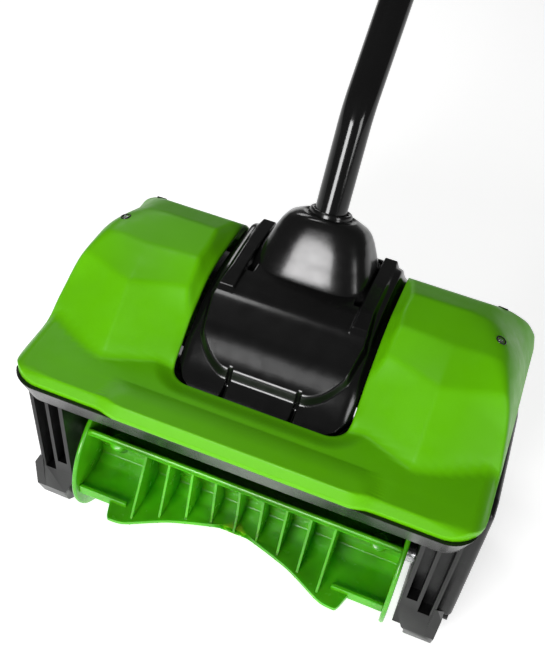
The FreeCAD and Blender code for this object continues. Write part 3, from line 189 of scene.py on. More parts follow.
def all_finishes(colours):
    green = tuple(colours.hood_green)
    rotor = tuple(colours.rotor_green)
    gloss = tuple(colours.gloss_black)
    satin = tuple(colours.satin_black)
    grey = tuple(colours.frame_grey)
    steel = ("Metallic", 1.0)
    return {
        "lip_black": finish("lip_black", satin, 0.24, 1500, 0.00003, wear=0.03,
                            fixed=(("Specular IOR Level", 0.3),)),
        "frame_grey": finish("frame_grey", grey, 0.32, 1700, 0.00004, wear=0.05,
                             fixed=(("Specular IOR Level", 0.25),)),
        "hood_green": finish("hood_green", green, 0.40, 2100, 0.00003, 0.04,
                             fixed=(("Specular IOR Level", 0.16),)),
        "cover_black": finish("cover_black", gloss, 0.20, 260, 0.00002, wear=0.02,
                              fixed=(("Specular IOR Level", 0.35), ("Coat Weight", 0.1),
                                     ("Coat Roughness", 0.1))),
        "rotor_green": finish("rotor_green", rotor, 0.24, 160, 0.00005, 0.30, fixed=(
            ("Subsurface Weight", 0.6), ("Subsurface Radius", (0.3, 1.0, 0.15)),
            ("Subsurface Scale", 0.006))),
        "tube_black": finish("tube_black", gloss, 0.13, 420, 0.00002, wear=0.01,
                             fixed=(("Specular IOR Level", 0.3), ("Coat Weight", 0.12),
                                    ("Coat Roughness", 0.05))),
        "scraper_black": finish("scraper_black", (0.028, 0.028, 0.029), 0.5, 1500, 0.00005, wear=0.35),
        "screw_steel": finish("screw_steel", (0.42, 0.42, 0.44), 0.34, 1600, 0.00002, fixed=(steel,)),
        "shaft_steel": finish("shaft_steel", (0.55, 0.55, 0.56), 0.26, 1100, 0.00002,
                              stretch=(12.0, 1.0, 1.0), fixed=(steel,)),
        "bearing_steel": finish("bearing_steel", (0.50, 0.50, 0.52), 0.24, 900, 0.00001, fixed=(steel,)),
        "can_steel": finish("can_steel", (0.24, 0.24, 0.25), 0.36, 700, 0.00002, fixed=(steel,)),
        "magnet_grey": finish("magnet_grey", (0.05, 0.05, 0.055), 0.7, 1300, 0.00006),
        "winding_copper": finish("winding_copper", (0.55, 0.20, 0.07), 0.32, 900, 0.0001,
                                 stretch=(1.0, 9.0, 9.0), fixed=(steel,)),
        "fan_grey": finish("fan_grey", (0.22, 0.22, 0.22), 0.45, 1500, 0.00003),
        "mount_aluminium": finish("mount_aluminium", (0.60, 0.60, 0.61), 0.42, 900, 0.00007,
                                  fixed=(steel,)),
        "pulley_aluminium": finish("pulley_aluminium", (0.62, 0.62, 0.63), 0.28, 1300, 0.00002,
                                   stretch=(14.0, 1.0, 1.0), fixed=(steel,)),
        "pulley_black": finish("pulley_black", (0.03, 0.03, 0.03), 0.6, 1200, 0.00005),
        "belt_rubber": finish("belt_rubber", (0.018, 0.018, 0.018), 0.75, 1800, 0.00008),
        "coupler_black": finish("coupler_black", (0.022, 0.022, 0.023), 0.45, 1700, 0.00005, wear=0.06),
        "knob_black": finish("knob_black", (0.018, 0.018, 0.019), 0.42, 1700, 0.00005, wear=0.10),
        "wire_black": finish("wire_black", (0.02, 0.02, 0.02), 0.5, 900, 0.00002),
        "grip_rubber": finish("grip_rubber", (0.018, 0.018, 0.018), 0.78, 1500, 0.00010, wear=0.05),
        "handle_green": finish("handle_green", green, 0.42, 2100, 0.00004, 0.03),
        "trigger_black": finish("trigger_black", (0.018, 0.018, 0.019), 0.34, 900, 0.00002, wear=0.12),
        "board_green": finish("board_green", (0.02, 0.12, 0.05), 0.25, 700, 0.00002),
        "terminal_black": finish("terminal_black", (0.03, 0.03, 0.03), 0.5, 900, 0.00003),
        "battery_black": finish("battery_black", (0.018, 0.018, 0.019), 0.46, 1900, 0.00005, wear=0.08),
        "battery_grey": finish("battery_grey", (0.085, 0.085, 0.087), 0.5, 1900, 0.00005, wear=0.08),
        "cell_wrap": finish("cell_wrap", (0.02, 0.18, 0.28), 0.3, 700, 0.00002),
    }


def finish_of(slot):
    return bpy.data.materials[slot + FINISH_ENDING]


def slot_of(node):
    return next(part["material_slot"] for part in frame["record"]["subparts"] if part["node"] == node)


class SHOVEL_OT_finishes(bpy.types.Operator):
    """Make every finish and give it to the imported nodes"""
    bl_idname = "shovel.finishes"
    bl_label = "Finishes"

    def execute(self, context):
        all_finishes(context.scene.shovel_colours)
        for name, node in frame["nodes"].items():
            node.data.materials.clear()
            node.data.materials.append(finish_of(slot_of(name)))
        return {"FINISHED"}


# ---- surfaces ----
def grid_faces(rows, columns, wrap_columns=False):
    """Quads of a grid of points kept row by row; wrapped columns close on themselves."""
    last = columns if wrap_columns else columns - 1
    row, column = np.meshgrid(np.arange(rows - 1), np.arange(last), indexing="ij")
    following = (column + 1) % columns
    corners = [row * columns + column, row * columns + following,
               (row + 1) * columns + following, (row + 1) * columns + column]
    return np.stack(corners, -1).reshape(-1, 4)


def mesh_of(name, points, faces, caps=()):
    """A mesh of quads from arrays; caps are single faces given as lists of point numbers.

    The surfaces are drawn about the ground point under the rotor's axis and set down here."""
    mesh = bpy.data.meshes.new(name)
    placed = points.reshape(-1, 3) + DRAWING_POINT
    mesh.from_pydata(placed.tolist(), [], faces.tolist() + [list(cap) for cap in caps])
    mesh.update()
    return mesh


def piece(name, mesh, slot, body, replaced=(), smooth=True):
    """Put a finished mesh on a body with its finish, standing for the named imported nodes."""
    thing = bpy.data.objects.new(name, mesh)
    bpy.context.scene.collection.objects.link(thing)
    mesh.materials.append(finish_of(slot))
    mesh.polygons.foreach_set("use_smooth", np.full(len(mesh.polygons), smooth))
    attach(thing, body)
    if replaced:
        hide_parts(*replaced)
    return thing


def outward(mesh):
    """Merge doubled points and turn every face outwards."""
    work = bmesh.new()
    work.from_mesh(mesh)
    bmesh.ops.remove_doubles(work, verts=work.verts, dist=1e-6)
    bmesh.ops.recalc_face_normals(work, faces=work.faces)
    work.to_mesh(mesh)
    work.free()


def walled(thing, thickness, offset=-1.0, even=True):
    wall = thing.modifiers.new("wall", "SOLIDIFY")
    wall.thickness = thickness
    wall.offset = offset
    wall.use_even_offset = even


def bevelled(thing, width, segments=3, angle=math.radians(30)):
    bevel = thing.modifiers.new("edges", "BEVEL")
    bevel.width = width
    bevel.segments = segments
    bevel.limit_method = "ANGLE"
    bevel.angle_limit = angle
    bevel.harden_normals = True
    bevel.use_clamp_overlap = True


def softened_copy(node, width, body, segments=2):
    """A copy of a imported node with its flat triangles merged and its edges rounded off."""
    source = frame["nodes"][node]
    mesh = source.data.copy()
    work = bmesh.new()
    work.from_mesh(mesh)
    bmesh.ops.remove_doubles(work, verts=work.verts, dist=2e-6)
    bmesh.ops.dissolve_limit(work, angle_limit=math.radians(1.0), verts=work.verts, edges=work.edges)
    work.to_mesh(mesh)
    work.free()
    mesh.materials.clear()
    mesh.set_sharp_from_angle(angle=math.radians(30))
    thing = piece(node + "_moulded", mesh, slot_of(node), body, (node,))
    bevelled(thing, width, segments)
    return thing


def smooth_step(low, high, value):
    """0 below low, 1 above high, and a smooth S between."""
    t = np.clip((value - low) / (high - low), 0.0, 1.0)
    return t * t * (3.0 - 2.0 * t)


def soft_min(first, second, width):
    """The lower of two heights, with the corner between them rounded over a width."""
    h = np.clip(0.5 + 0.5 * (second - first) / width, 0.0, 1.0)
    return second + (first - second) * h - width * h * (1.0 - h)


def soft_max(first, second, width):
    return -soft_min(-first, -second, width)


def smooth_profile(at, knots, values, blur):
    """A polyline through the knots, with its corners rounded by averaging over a short reach."""
    offsets = np.linspace(-1.0, 1.0, 9) * blur
    weights = (1.0 - (offsets / blur) ** 2 * 0.9)
    samples = np.interp(at[..., None] + offsets, knots, values)
    return (samples * weights).sum(-1) / weights.sum()


def rounded_path(corners, radii, count):
    """Points evenly spaced along a polyline whose corners are rounded to their radii."""
    corners = np.asarray(corners, float)
    pieces = [corners[:1]]
    for before, corner, after, radius in zip(corners, corners[1:], corners[2:], radii):
        into = before - corner
        out = after - corner
        into = into / np.linalg.norm(into)
        out = out / np.linalg.norm(out)
        half = math.acos(float(np.clip(into @ out, -1, 1))) / 2
        cut = radius / math.tan(half)
        t = np.linspace(0, 1, 24)[:, None]
        start, end = corner + into * cut, corner + out * cut
        weight = math.sin(half)
        top = (1 - t) ** 2 * start + 2 * t * (1 - t) * weight * corner + t ** 2 * end
        pieces.append(top / ((1 - t) ** 2 + 2 * t * (1 - t) * weight + t ** 2))
    pieces.append(corners[-1:])
    line = np.concatenate(pieces)
    steps = np.linalg.norm(np.diff(line, axis=0), axis=1)
    keep = np.concatenate([[True], steps > 1e-9])
    line = line[keep]
    length = np.concatenate([[0], np.cumsum(np.linalg.norm(np.diff(line, axis=0), axis=1))])
    at = np.linspace(0, length[-1], count)
    return np.stack([np.interp(at, length, line[:, axis]) for axis in range(line.shape[1])], -1)


def swept(name, path, radius, sides=48):
    """A round bar: a circle of the radius at each point of the path, square to the path, ends capped."""
    path = np.asarray(path, float)
    ahead = np.gradient(path, axis=0)
    ahead /= np.linalg.norm(ahead, axis=1)[:, None]
    reference = np.array([1.0, 0.0, 0.0]) if abs(ahead[:, 0]).max() < 0.9 else np.array([0.0, 0.0, 1.0])
    across = np.cross(ahead, reference)
    across /= np.linalg.norm(across, axis=1)[:, None]
    upward = np.cross(across, ahead)
    turn = np.linspace(0, 2 * np.pi, sides, endpoint=False)
    radius = np.broadcast_to(np.asarray(radius, float), (len(path),))
    ring = (np.cos(turn)[None, :, None] * across[:, None] + np.sin(turn)[None, :, None] * upward[:, None])
    points = path[:, None] + ring * radius[:, None, None]
    faces = grid_faces(len(path), sides, wrap_columns=True)
    first = list(range(sides))
    last = list(range((len(path) - 1) * sides, len(path) * sides))
    mesh = mesh_of(name, points, faces, (first[::-1], last))
    outward(mesh)
    return mesh


def turned(name, profile, axis_point, axis, sides=64):
    """A turned part: the profile's (along, radius) points carried round the axis; ends close on it."""
    profile = np.asarray(profile, float)
    axis = np.asarray(axis, float) / np.linalg.norm(axis)
    reference = np.array([1.0, 0.0, 0.0]) if abs(axis[0]) < 0.9 else np.array([0.0, 1.0, 0.0])
    across = np.cross(axis, reference)
    across /= np.linalg.norm(across)
    upward = np.cross(axis, across)
    turn = np.linspace(0, 2 * np.pi, sides, endpoint=False)
    ring = np.cos(turn)[:, None] * across + np.sin(turn)[:, None] * upward
    points = (np.asarray(axis_point) + profile[:, None, :1] * axis
              + profile[:, None, 1:] * ring[None])
    mesh = mesh_of(name, points, grid_faces(len(profile), sides, wrap_columns=True))
    outward(mesh)
    return mesh


HEAD = "head_and_shaft"

# ---- hood ----
MM = 0.001
HOOD_HALF_WIDTH = 183.0
CUT_HALF_WIDTH = 71.0
CUT_FRONT = -27.0
CUT_CORNER = 17.0
HOOD_BACK = 158.0
LOBE_Y = [-90, -44, -35, -27, 12, 44, 82, 108, 125, 140, 157, 175]
LOBE_Z = [206, 206, 211, 221, 257, 270, 273, 264, 250, 232, 200, 160]
SIDE_X = [0, 140, 155, 164, 171, 176, 180, 183.5, 190]
SIDE_Z = [284, 277, 271.5, 264, 254, 241, 224, 205, 180]
REAR_SIDE_X = [0, 120, 140, 150, 156.5, 164.7, 172, 181, 186]
REAR_SIDE_Z = [284, 277, 264, 256, 250, 241, 231, 212, 194]
CUT_EDGE_Y = [-90, -20, -6, 12, 40, 62, 125, 142, 158]
CUT_EDGE_Z = [211.5, 211.5, 219, 238, 254.5, 260, 257, 236, 200]
HOOD_HEM_Y = [-90, -38, 40, 110, 156, 170]
HOOD_HEM_Z = [205, 205, 190, 168, 160, 160]


def hood_front(x):
    """Depth of the hood's front edge: straight, standing 3 mm further forward at the middle ridge."""
    return -73.0 - 3.0 * (1.0 - smooth_step(90.0, 106.0, np.abs(x)))


def hood_height(x, y):
    """Height of the hood in mm over its plan.

    The lower of the lobe's own profile along y, the fall to its outer side and the rise out of the
    valley round the motor opening, all met with rounded corners; then the higher of that and the
    front shelf with its middle ridge; then the drop over the front edge. The lobe's foot swings
    back beside the opening and round the outer corner, and its outer side draws in at the back."""
    wide = np.abs(x)
    swing = 16.0 * np.clip((122.0 - wide) / 40.0, 0, 1.2)
    swing = swing + 27.0 * np.clip((wide - 122.0) / 56.0, 0, 1.1) ** 1.4
    lobe = smooth_profile(y - swing * (1.0 - smooth_step(10.0, 60.0, y)), LOBE_Y, LOBE_Z, 3.5)
    rear = smooth_step(52.0, 125.0, y)
    side = smooth_profile(wide, SIDE_X, SIDE_Z, 5.0) * (1.0 - rear)
    side = side + smooth_profile(wide, REAR_SIDE_X, REAR_SIDE_Z, 5.0) * rear
    across = np.maximum(wide - (CUT_HALF_WIDTH - CUT_CORNER), 0.0)
    along = np.maximum(CUT_FRONT + CUT_CORNER - y, 0.0)
    from_cut = np.hypot(across, along) - CUT_CORNER
    valley = smooth_profile(y, CUT_EDGE_Y, CUT_EDGE_Z, 8.0) + 46.0 * smooth_step(-3.0, 30.0, from_cut)
    height = soft_min(soft_min(lobe, side, 6.0), valley, 3.5)
    ridge = np.interp(y, [-80, -70, -46, -40], [1.0, 1.0, 0.0, 0.0])
    ridge = ridge * np.clip((105.0 - wide) / 15.0, 0.0, 1.0)
    shelf = 214.5 + 8.0 * ridge - 3.5 * (1.0 - smooth_step(0.0, 16.0, from_cut))
    shelf_side = np.interp(wide, [0, 172, 179, 183], [217, 217, 211, 205])
    height = soft_max(height, soft_min(shelf, shelf_side, 3.0), 1.6)
    rise = y - hood_front(x)
    edge = 208.0 + 7.0 * np.clip((rise + 1.0) / 7.0, 0, 1) + 9.0 * ridge * np.clip(rise / 9.0, 0, 1)
    return np.where(y < -50.0, soft_min(height, edge, 1.2), height)


def hood_plan(count_along, count_across):
    """Plan points between the motor opening's edge and the outer edge, round the U of the hood."""
    inner = rounded_path([(-CUT_HALF_WIDTH, HOOD_BACK), (-CUT_HALF_WIDTH, CUT_FRONT),
                          (CUT_HALF_WIDTH, CUT_FRONT), (CUT_HALF_WIDTH, HOOD_BACK)],
                         (CUT_CORNER, CUT_CORNER), 2001)
    outer = rounded_path([(-140.0, HOOD_BACK), (-HOOD_HALF_WIDTH, HOOD_BACK), (-HOOD_HALF_WIDTH, -73.0),
                          (HOOD_HALF_WIDTH, -73.0), (HOOD_HALF_WIDTH, HOOD_BACK), (140.0, HOOD_BACK)],
                         (20.0, 28.0, 28.0, 20.0), 2001)
    # share the run out so that the sides run square across and only the corners fan
    knots = [0.0, 0.36, 0.5, 0.64, 1.0]
    t = np.linspace(0.0, 1.0, count_along)

    def at(line, y_break):
        length = np.concatenate([[0], np.cumsum(np.linalg.norm(np.diff(line, axis=0), axis=1))])
        leg = length[np.argmax(line[:, 1] <= y_break)]
        stops = [0.0, leg, length[-1] / 2, length[-1] - leg, length[-1]]
        where = np.interp(t, knots, stops)
        return np.stack([np.interp(where, length, line[:, 0]), np.interp(where, length, line[:, 1])], -1)

    inside, outside = at(inner, -6.0), at(outer, -6.0)
    s = np.linspace(0.0, 1.0, count_across)
    s = np.sin(s * np.pi / 2) * 0.5 + s * 0.5
    plan = inside[:, None] * (1 - s)[None, :, None] + outside[:, None] * s[None, :, None]
    front = plan[..., 1] < -40
    pull = np.clip((-40 - plan[..., 1]) / 33.0, 0, 1)
    plan[..., 1] = np.where(front, plan[..., 1] + pull * (hood_front(plan[..., 0]) + 73.0), plan[..., 1])
    return plan


class SHOVEL_OT_hood(bpy.types.Operator):
    """Mould the green hood: its two lobes, the front shelf and the edge round the motor opening"""
    bl_idname = "shovel.hood"
    bl_label = "Hood"

    def execute(self, context):
        plan = hood_plan(301, 84)
        height = hood_height(plan[..., 0], plan[..., 1])
        points = np.concatenate([plan, height[..., None]], -1)
        # hem: the outer edge dropped in three steps, and the opening's edge turned down
        hem = points[:, -1:].repeat(3, axis=1)
        low = np.interp(hem[:, 0, 1], HOOD_HEM_Y, HOOD_HEM_Z)
        hem[..., 2] += (low - hem[:, 0, 2])[:, None] * np.array([0.3, 0.65, 1.0])
        lip = points[:, :1].repeat(2, axis=1)
        lip[..., 2] -= np.array([3.5, 1.5])
        points = np.concatenate([lip, points, hem], axis=1)
        back = points[[0, -1]].copy()
        back[..., 2] = np.minimum(back[..., 2], 168.0)
        back[..., 1] += 2.0
        points = np.concatenate([back[:1], points, back[1:]], axis=0) * MM
        mesh = mesh_of("hood_shell", points, grid_faces(points.shape[0], points.shape[1]))
        outward_up(mesh)
        hood = piece("hood_shell", mesh, "hood_green", HEAD, ("top_hood",))
        walled(hood, 2.6 * MM)
        for number, (x, y) in enumerate(((-153.0, 66.0), (-148.0, 122.0), (153.0, 66.0), (148.0, 122.0))):
            top = float(hood_height(np.array([x]), np.array([y]))[0])
            slopes = [float((hood_height(np.array([x + dx]), np.array([y + dy])) - top)[0])
                      for dx, dy in ((1.0, 0.0), (0.0, 1.0))]
            facing = np.array([-slopes[0], -slopes[1], 1.0])
            facing /= np.linalg.norm(facing)
            foot = (np.array([x, y, top]) - facing * 2.0) * MM
            well = [(0, 0.0), (0, 4.2), (2.3, 4.2), (2.6, 3.9), (2.6, 3.3), (1.4, 3.0), (1.4, 0.0)]
            mesh = turned(f"hood_screw_well_{number}", np.array(well) * MM, foot, facing, 40)
            piece(f"hood_screw_well_{number}", mesh, "lip_black", HEAD)
            head = [(1.2, 0.0), (1.2, 2.4), (1.9, 2.3), (2.2, 1.6), (2.2, 0.9), (1.7, 0.8), (1.7, 0.0)]
            mesh = turned(f"hood_screw_top_{number}", np.array(head) * MM, foot, facing, 32)
            piece(f"hood_screw_top_{number}", mesh, "screw_steel", HEAD, () if number else ("hood_screws",))
        return {"FINISHED"}


# ---- motor cover ----
COVER_Y = [-40, -24, -12, 6, 36, 60, 118, 134, 146]
COVER_Z = [203, 207, 214, 233, 250, 256, 256, 246, 225]
PLATE_Y = [-30, -8, 8, 34, 56, 90, 130, 146]
PLATE_Z = [212, 223, 242, 257, 260, 260, 256, 240]


def cover_height(x, y):
    """Height of the motor cover in mm over its plan.

    A falling profile along y with rounded sides; a plate with a tapered, round-cornered outline
    stands above it; a raised band runs down each side at the back; slots sink between them."""
    height = smooth_profile(y, COVER_Y, COVER_Z, 7.0)
    height = height - 6.0 * smooth_step(58.0, 71.0, np.abs(x)) ** 2
    half = np.interp(y, [-9, 6, 30, 60], [49.0, 57.0, 61.0, 58.0])
    corner = 19.0
    across = np.maximum(np.abs(x) - half + corner, 0.0)
    along = np.maximum(-9.0 + corner - y, 0.0)
    inside = corner - np.hypot(across, along)
    plate = smooth_profile(y, PLATE_Y, PLATE_Z, 6.0)
    height = height + (plate - height) * smooth_step(-3.0, 0.8, inside)
    band = smooth_step(46.5, 48.0, np.abs(x)) * (1 - smooth_step(64.0, 67.0, np.abs(x)))
    band = band * smooth_step(34.0, 40.0, y) * (1 - smooth_step(126.0, 136.0, y))
    height = height + band * np.interp(y, [34, 84, 140], [2.0, 4.0, 5.0])
    vent = smooth_step(41.0, 42.0, np.abs(x)) * (1 - smooth_step(45.5, 46.5, np.abs(x)))
    vent = vent * smooth_step(62.0, 66.0, y) * (1 - smooth_step(124.0, 128.0, y))
    slot = 1 - smooth_step(0.9, 1.9, np.abs(np.abs(x) - 27.5))
    slot = slot * (1 - smooth_step(-9.0, -7.0, y))
    return height - 9.0 * vent - 7.0 * slot


class SHOVEL_OT_motor_cover(bpy.types.Operator):
    """Mould the gloss motor cover with its plate, side bands, vents and slots"""
    bl_idname = "shovel.motor_cover"
    bl_label = "Motor cover"

    def execute(self, context):
        s = np.linspace(-1, 1, 273)[None, :]
        y = np.linspace(0, 1, 281)[:, None]
        deep = -25.0 + 169.0 * y + 0 * s
        half = np.interp(deep, [-25, -20, -6, 144], [54, 61, 69.6, 70.2])
        wide = s * half
        height = cover_height(wide, deep)
        points = np.stack([wide, deep, height], -1)
        points = skirted(points, 7.0) * MM
        mesh = mesh_of("motor_cover_shell", points, grid_faces(points.shape[0], points.shape[1]))
        outward_up(mesh)
        cover = piece("motor_cover_shell", mesh, "cover_black", HEAD, ("motor_cover",))
        walled(cover, 2.2 * MM)
        return {"FINISHED"}


def skirted(points, depth):
    """Add a row all round a sheet of points, straight below its edge."""
    below = points.copy()
    below[..., 2] -= depth
    points = np.concatenate([below[:, :1], points, below[:, -1:]], axis=1)
    ends = points[[0, -1]].copy()
    ends[:, 1:-1, 2] -= depth
    return np.concatenate([ends[:1], points, ends[1:]], axis=0)


def outward_up(mesh):
    """Turn a sheet's faces the way most of them look up."""
    normals = np.empty(len(mesh.polygons) * 3)
    mesh.polygons.foreach_get("normal", normals)
    if normals[2::3].sum() < 0:
        mesh.flip_normals()


# ---- boot round the shaft ----
TUBE_LEAN = math.radians(23.4)


def squared_ring(half_wide, half_deep, power, count):
    """A rounded rectangle as a superellipse: |x/a|^n + |y/b|^n = 1."""
    turn = np.linspace(0, 2 * np.pi, count, endpoint=False)
    c, s = np.cos(turn), np.sin(turn)
    reach = (np.abs(c) ** power + np.abs(s) ** power) ** (-1.0 / power)
    return np.stack([half_wide * reach * c, half_deep * reach * s], -1)


BOOT_SECTIONS = [
    # height, half width, half depth, power, centre y, tilt share
    (246.0, 53.0, 37.0, 3.4, 96.0, 0.0),
    (256.0, 51.5, 36.0, 3.4, 97.5, 0.05),
    (259.0, 47.5, 33.5, 3.4, 98.6, 0.1),
    (263.0, 46.0, 32.0, 3.4, 100.2, 0.15),
    (272.0, 42.2, 29.4, 3.3, 104.0, 0.3),
    (280.0, 38.8, 27.2, 3.2, 107.4, 0.5),
    (286.0, 35.6, 25.4, 3.0, 110.0, 0.7),
    (290.0, 32.2, 23.8, 2.8, 111.4, 0.85),
    (293.0, 27.6, 22.0, 2.5, 112.6, 1.0),
    (294.8, 23.0, 20.2, 2.2, 113.6, 1.0),
    (295.2, 20.4, 19.2, 2.0, 114.0, 1.0),
    (293.6, 19.4, 18.6, 2.0, 113.4, 1.0),
    (293.6, 17.4, 17.0, 2.0, 113.4, 1.0),
    (298.0, 17.2, 16.8, 2.0, 115.2, 1.0),
    (299.2, 16.2, 16.0, 2.0, 115.6, 1.0),
    (298.6, 13.6, 13.6, 2.0, 115.4, 1.0),
    (292.0, 13.2, 13.2, 2.0, 112.6, 1.0),
]


BOOT_ROWS = 90
BOOT_RING_POINTS = 160
BOOT_BLUR = 1.6    # how far, in mm along the boot's profile, its corners are smoothed


class SHOVEL_OT_boot(bpy.types.Operator):
    """Loft the gloss boot: squared rings that shrink, lean and round over into the shaft's collar"""
    bl_idname = "shovel.boot"
    bl_label = "Boot"

    def execute(self, context):
        sections = np.array(BOOT_SECTIONS)
        steps = np.linalg.norm(np.diff(sections[:, [0, 1, 4]], axis=0), axis=1)
        length = np.concatenate([[0], np.cumsum(steps)])
        at = np.unique(np.concatenate([length, np.linspace(0, length[-1], BOOT_ROWS)]))
        offsets = np.linspace(-BOOT_BLUR, BOOT_BLUR, 9)
        spread = at[:, None] + offsets * smooth_step(0.0, 3.0, np.minimum(at, length[-1] - at))[:, None]
        columns = [np.interp(spread, length, sections[:, index]).mean(-1) for index in range(6)]
        rings = []
        for height, wide, deep, power, centre, tilt in zip(*columns):
            ring = squared_ring(wide, deep, power, BOOT_RING_POINTS)
            lean = TUBE_LEAN * tilt
            rings.append(np.stack([ring[:, 0], centre + ring[:, 1] * math.cos(lean),
                                   height - ring[:, 1] * math.sin(lean)], -1))
        faces = grid_faces(len(rings), BOOT_RING_POINTS, wrap_columns=True)
        mesh = mesh_of("boot_shell", np.array(rings) * MM, faces)
        outward(mesh)
        piece("boot_shell", mesh, "cover_black", HEAD, ("tube_boot",))
        return {"FINISHED"}


# ---- shaft tubes ----
BEND = np.array([0.0, 144.4, 372.3])
LOWER_WAY = np.array([0.0, math.sin(TUBE_LEAN), math.cos(TUBE_LEAN)])
UPPER_WAY = np.array([0.0, math.sqrt(0.5), math.sqrt(0.5)])
TUBE_RADIUS = 12.7


class SHOVEL_OT_shaft(bpy.types.Operator):
    """Draw the two gloss shaft tubes, the lower one bent above the head"""
    bl_idname = "shovel.shaft"
    bl_label = "Shaft"

    def execute(self, context):
        path = rounded_path([BEND - LOWER_WAY * 151.8, BEND, BEND + UPPER_WAY * 149.8], (70.0,), 90)
        mesh = swept("lower_shaft", path * MM, TUBE_RADIUS * MM, 64)
        piece("lower_shaft", mesh, "tube_black", HEAD, ("lower_tube",))
        path = np.linspace(BEND + UPPER_WAY * 150.7, BEND + UPPER_WAY * 555.8, 12)
        mesh = swept("upper_shaft", path * MM, TUBE_RADIUS * MM, 64)
        piece("upper_shaft", mesh, "tube_black", HEAD, ("upper_tube",))
        return {"FINISHED"}


# ---- rotor ----
ROTOR_AXIS_Z = 76.0
DISC_INNER = 135.0
DISC_RADIUS = 62.0
RIB_COUNT = 9
RIB_PITCH = 20.5
END_REACH = 55.0
SCOOP_X = [-20, 0, 15, 36, 52, 62, 72, 80, 87, 94, 120]
SCOOP_REACH = [41, 38, 41, 47.5, 53, 58, 63.5, 68, 71.6, 72.4, 72.4]
TROUGH = [(-24.0, -10.4), (-11.5, -5.0), (-11.5, 7.5), (-16.5, 20.0), (-36.6, 48.6)]


def paddle_reach(x):
    """How far the paddle reaches from the axis: a scoop between two rounded tips, then short ends."""
    x = np.abs(x)
    scoop = smooth_profile(x, SCOOP_X, SCOOP_REACH, 7.0)
    return scoop + (END_REACH - scoop) * smooth_step(99.0, 108.0, x) ** 1.3


def trough_points(x, count):
    """The scoop's inner face at each x: straight out to the paddle's edge, then round up the back."""
    back = rounded_path([(-40.0, -10.0)] + TROUGH, (12.0, 4.0, 9.0, 30.0), count)
    front = np.linspace(0, 1, count // 2, endpoint=False)[:, None]
    reach = paddle_reach(x)
    deep = -reach[:, None] + (reach[:, None] - 40.0) * front[None, :, 0]
    deep = np.concatenate([deep, np.broadcast_to(back[None, :, 0], (len(x), count))], axis=1)
    high = np.concatenate([np.broadcast_to(-9.2 - 0.8 * front[None, :, 0], (len(x), count // 2)),
                           np.broadcast_to(back[None, :, 1], (len(x), count))], axis=1)
    wide = np.broadcast_to(x[:, None], deep.shape)
    return np.stack([wide, deep, high], -1)


def both_halves(points):
    """The part and its twin, turned half round the axis."""
    return points, points * np.array([1.0, -1.0, -1.0])


def to_rotor(points):
    return (points + np.array([0.0, 0.0, ROTOR_AXIS_Z])) * MM


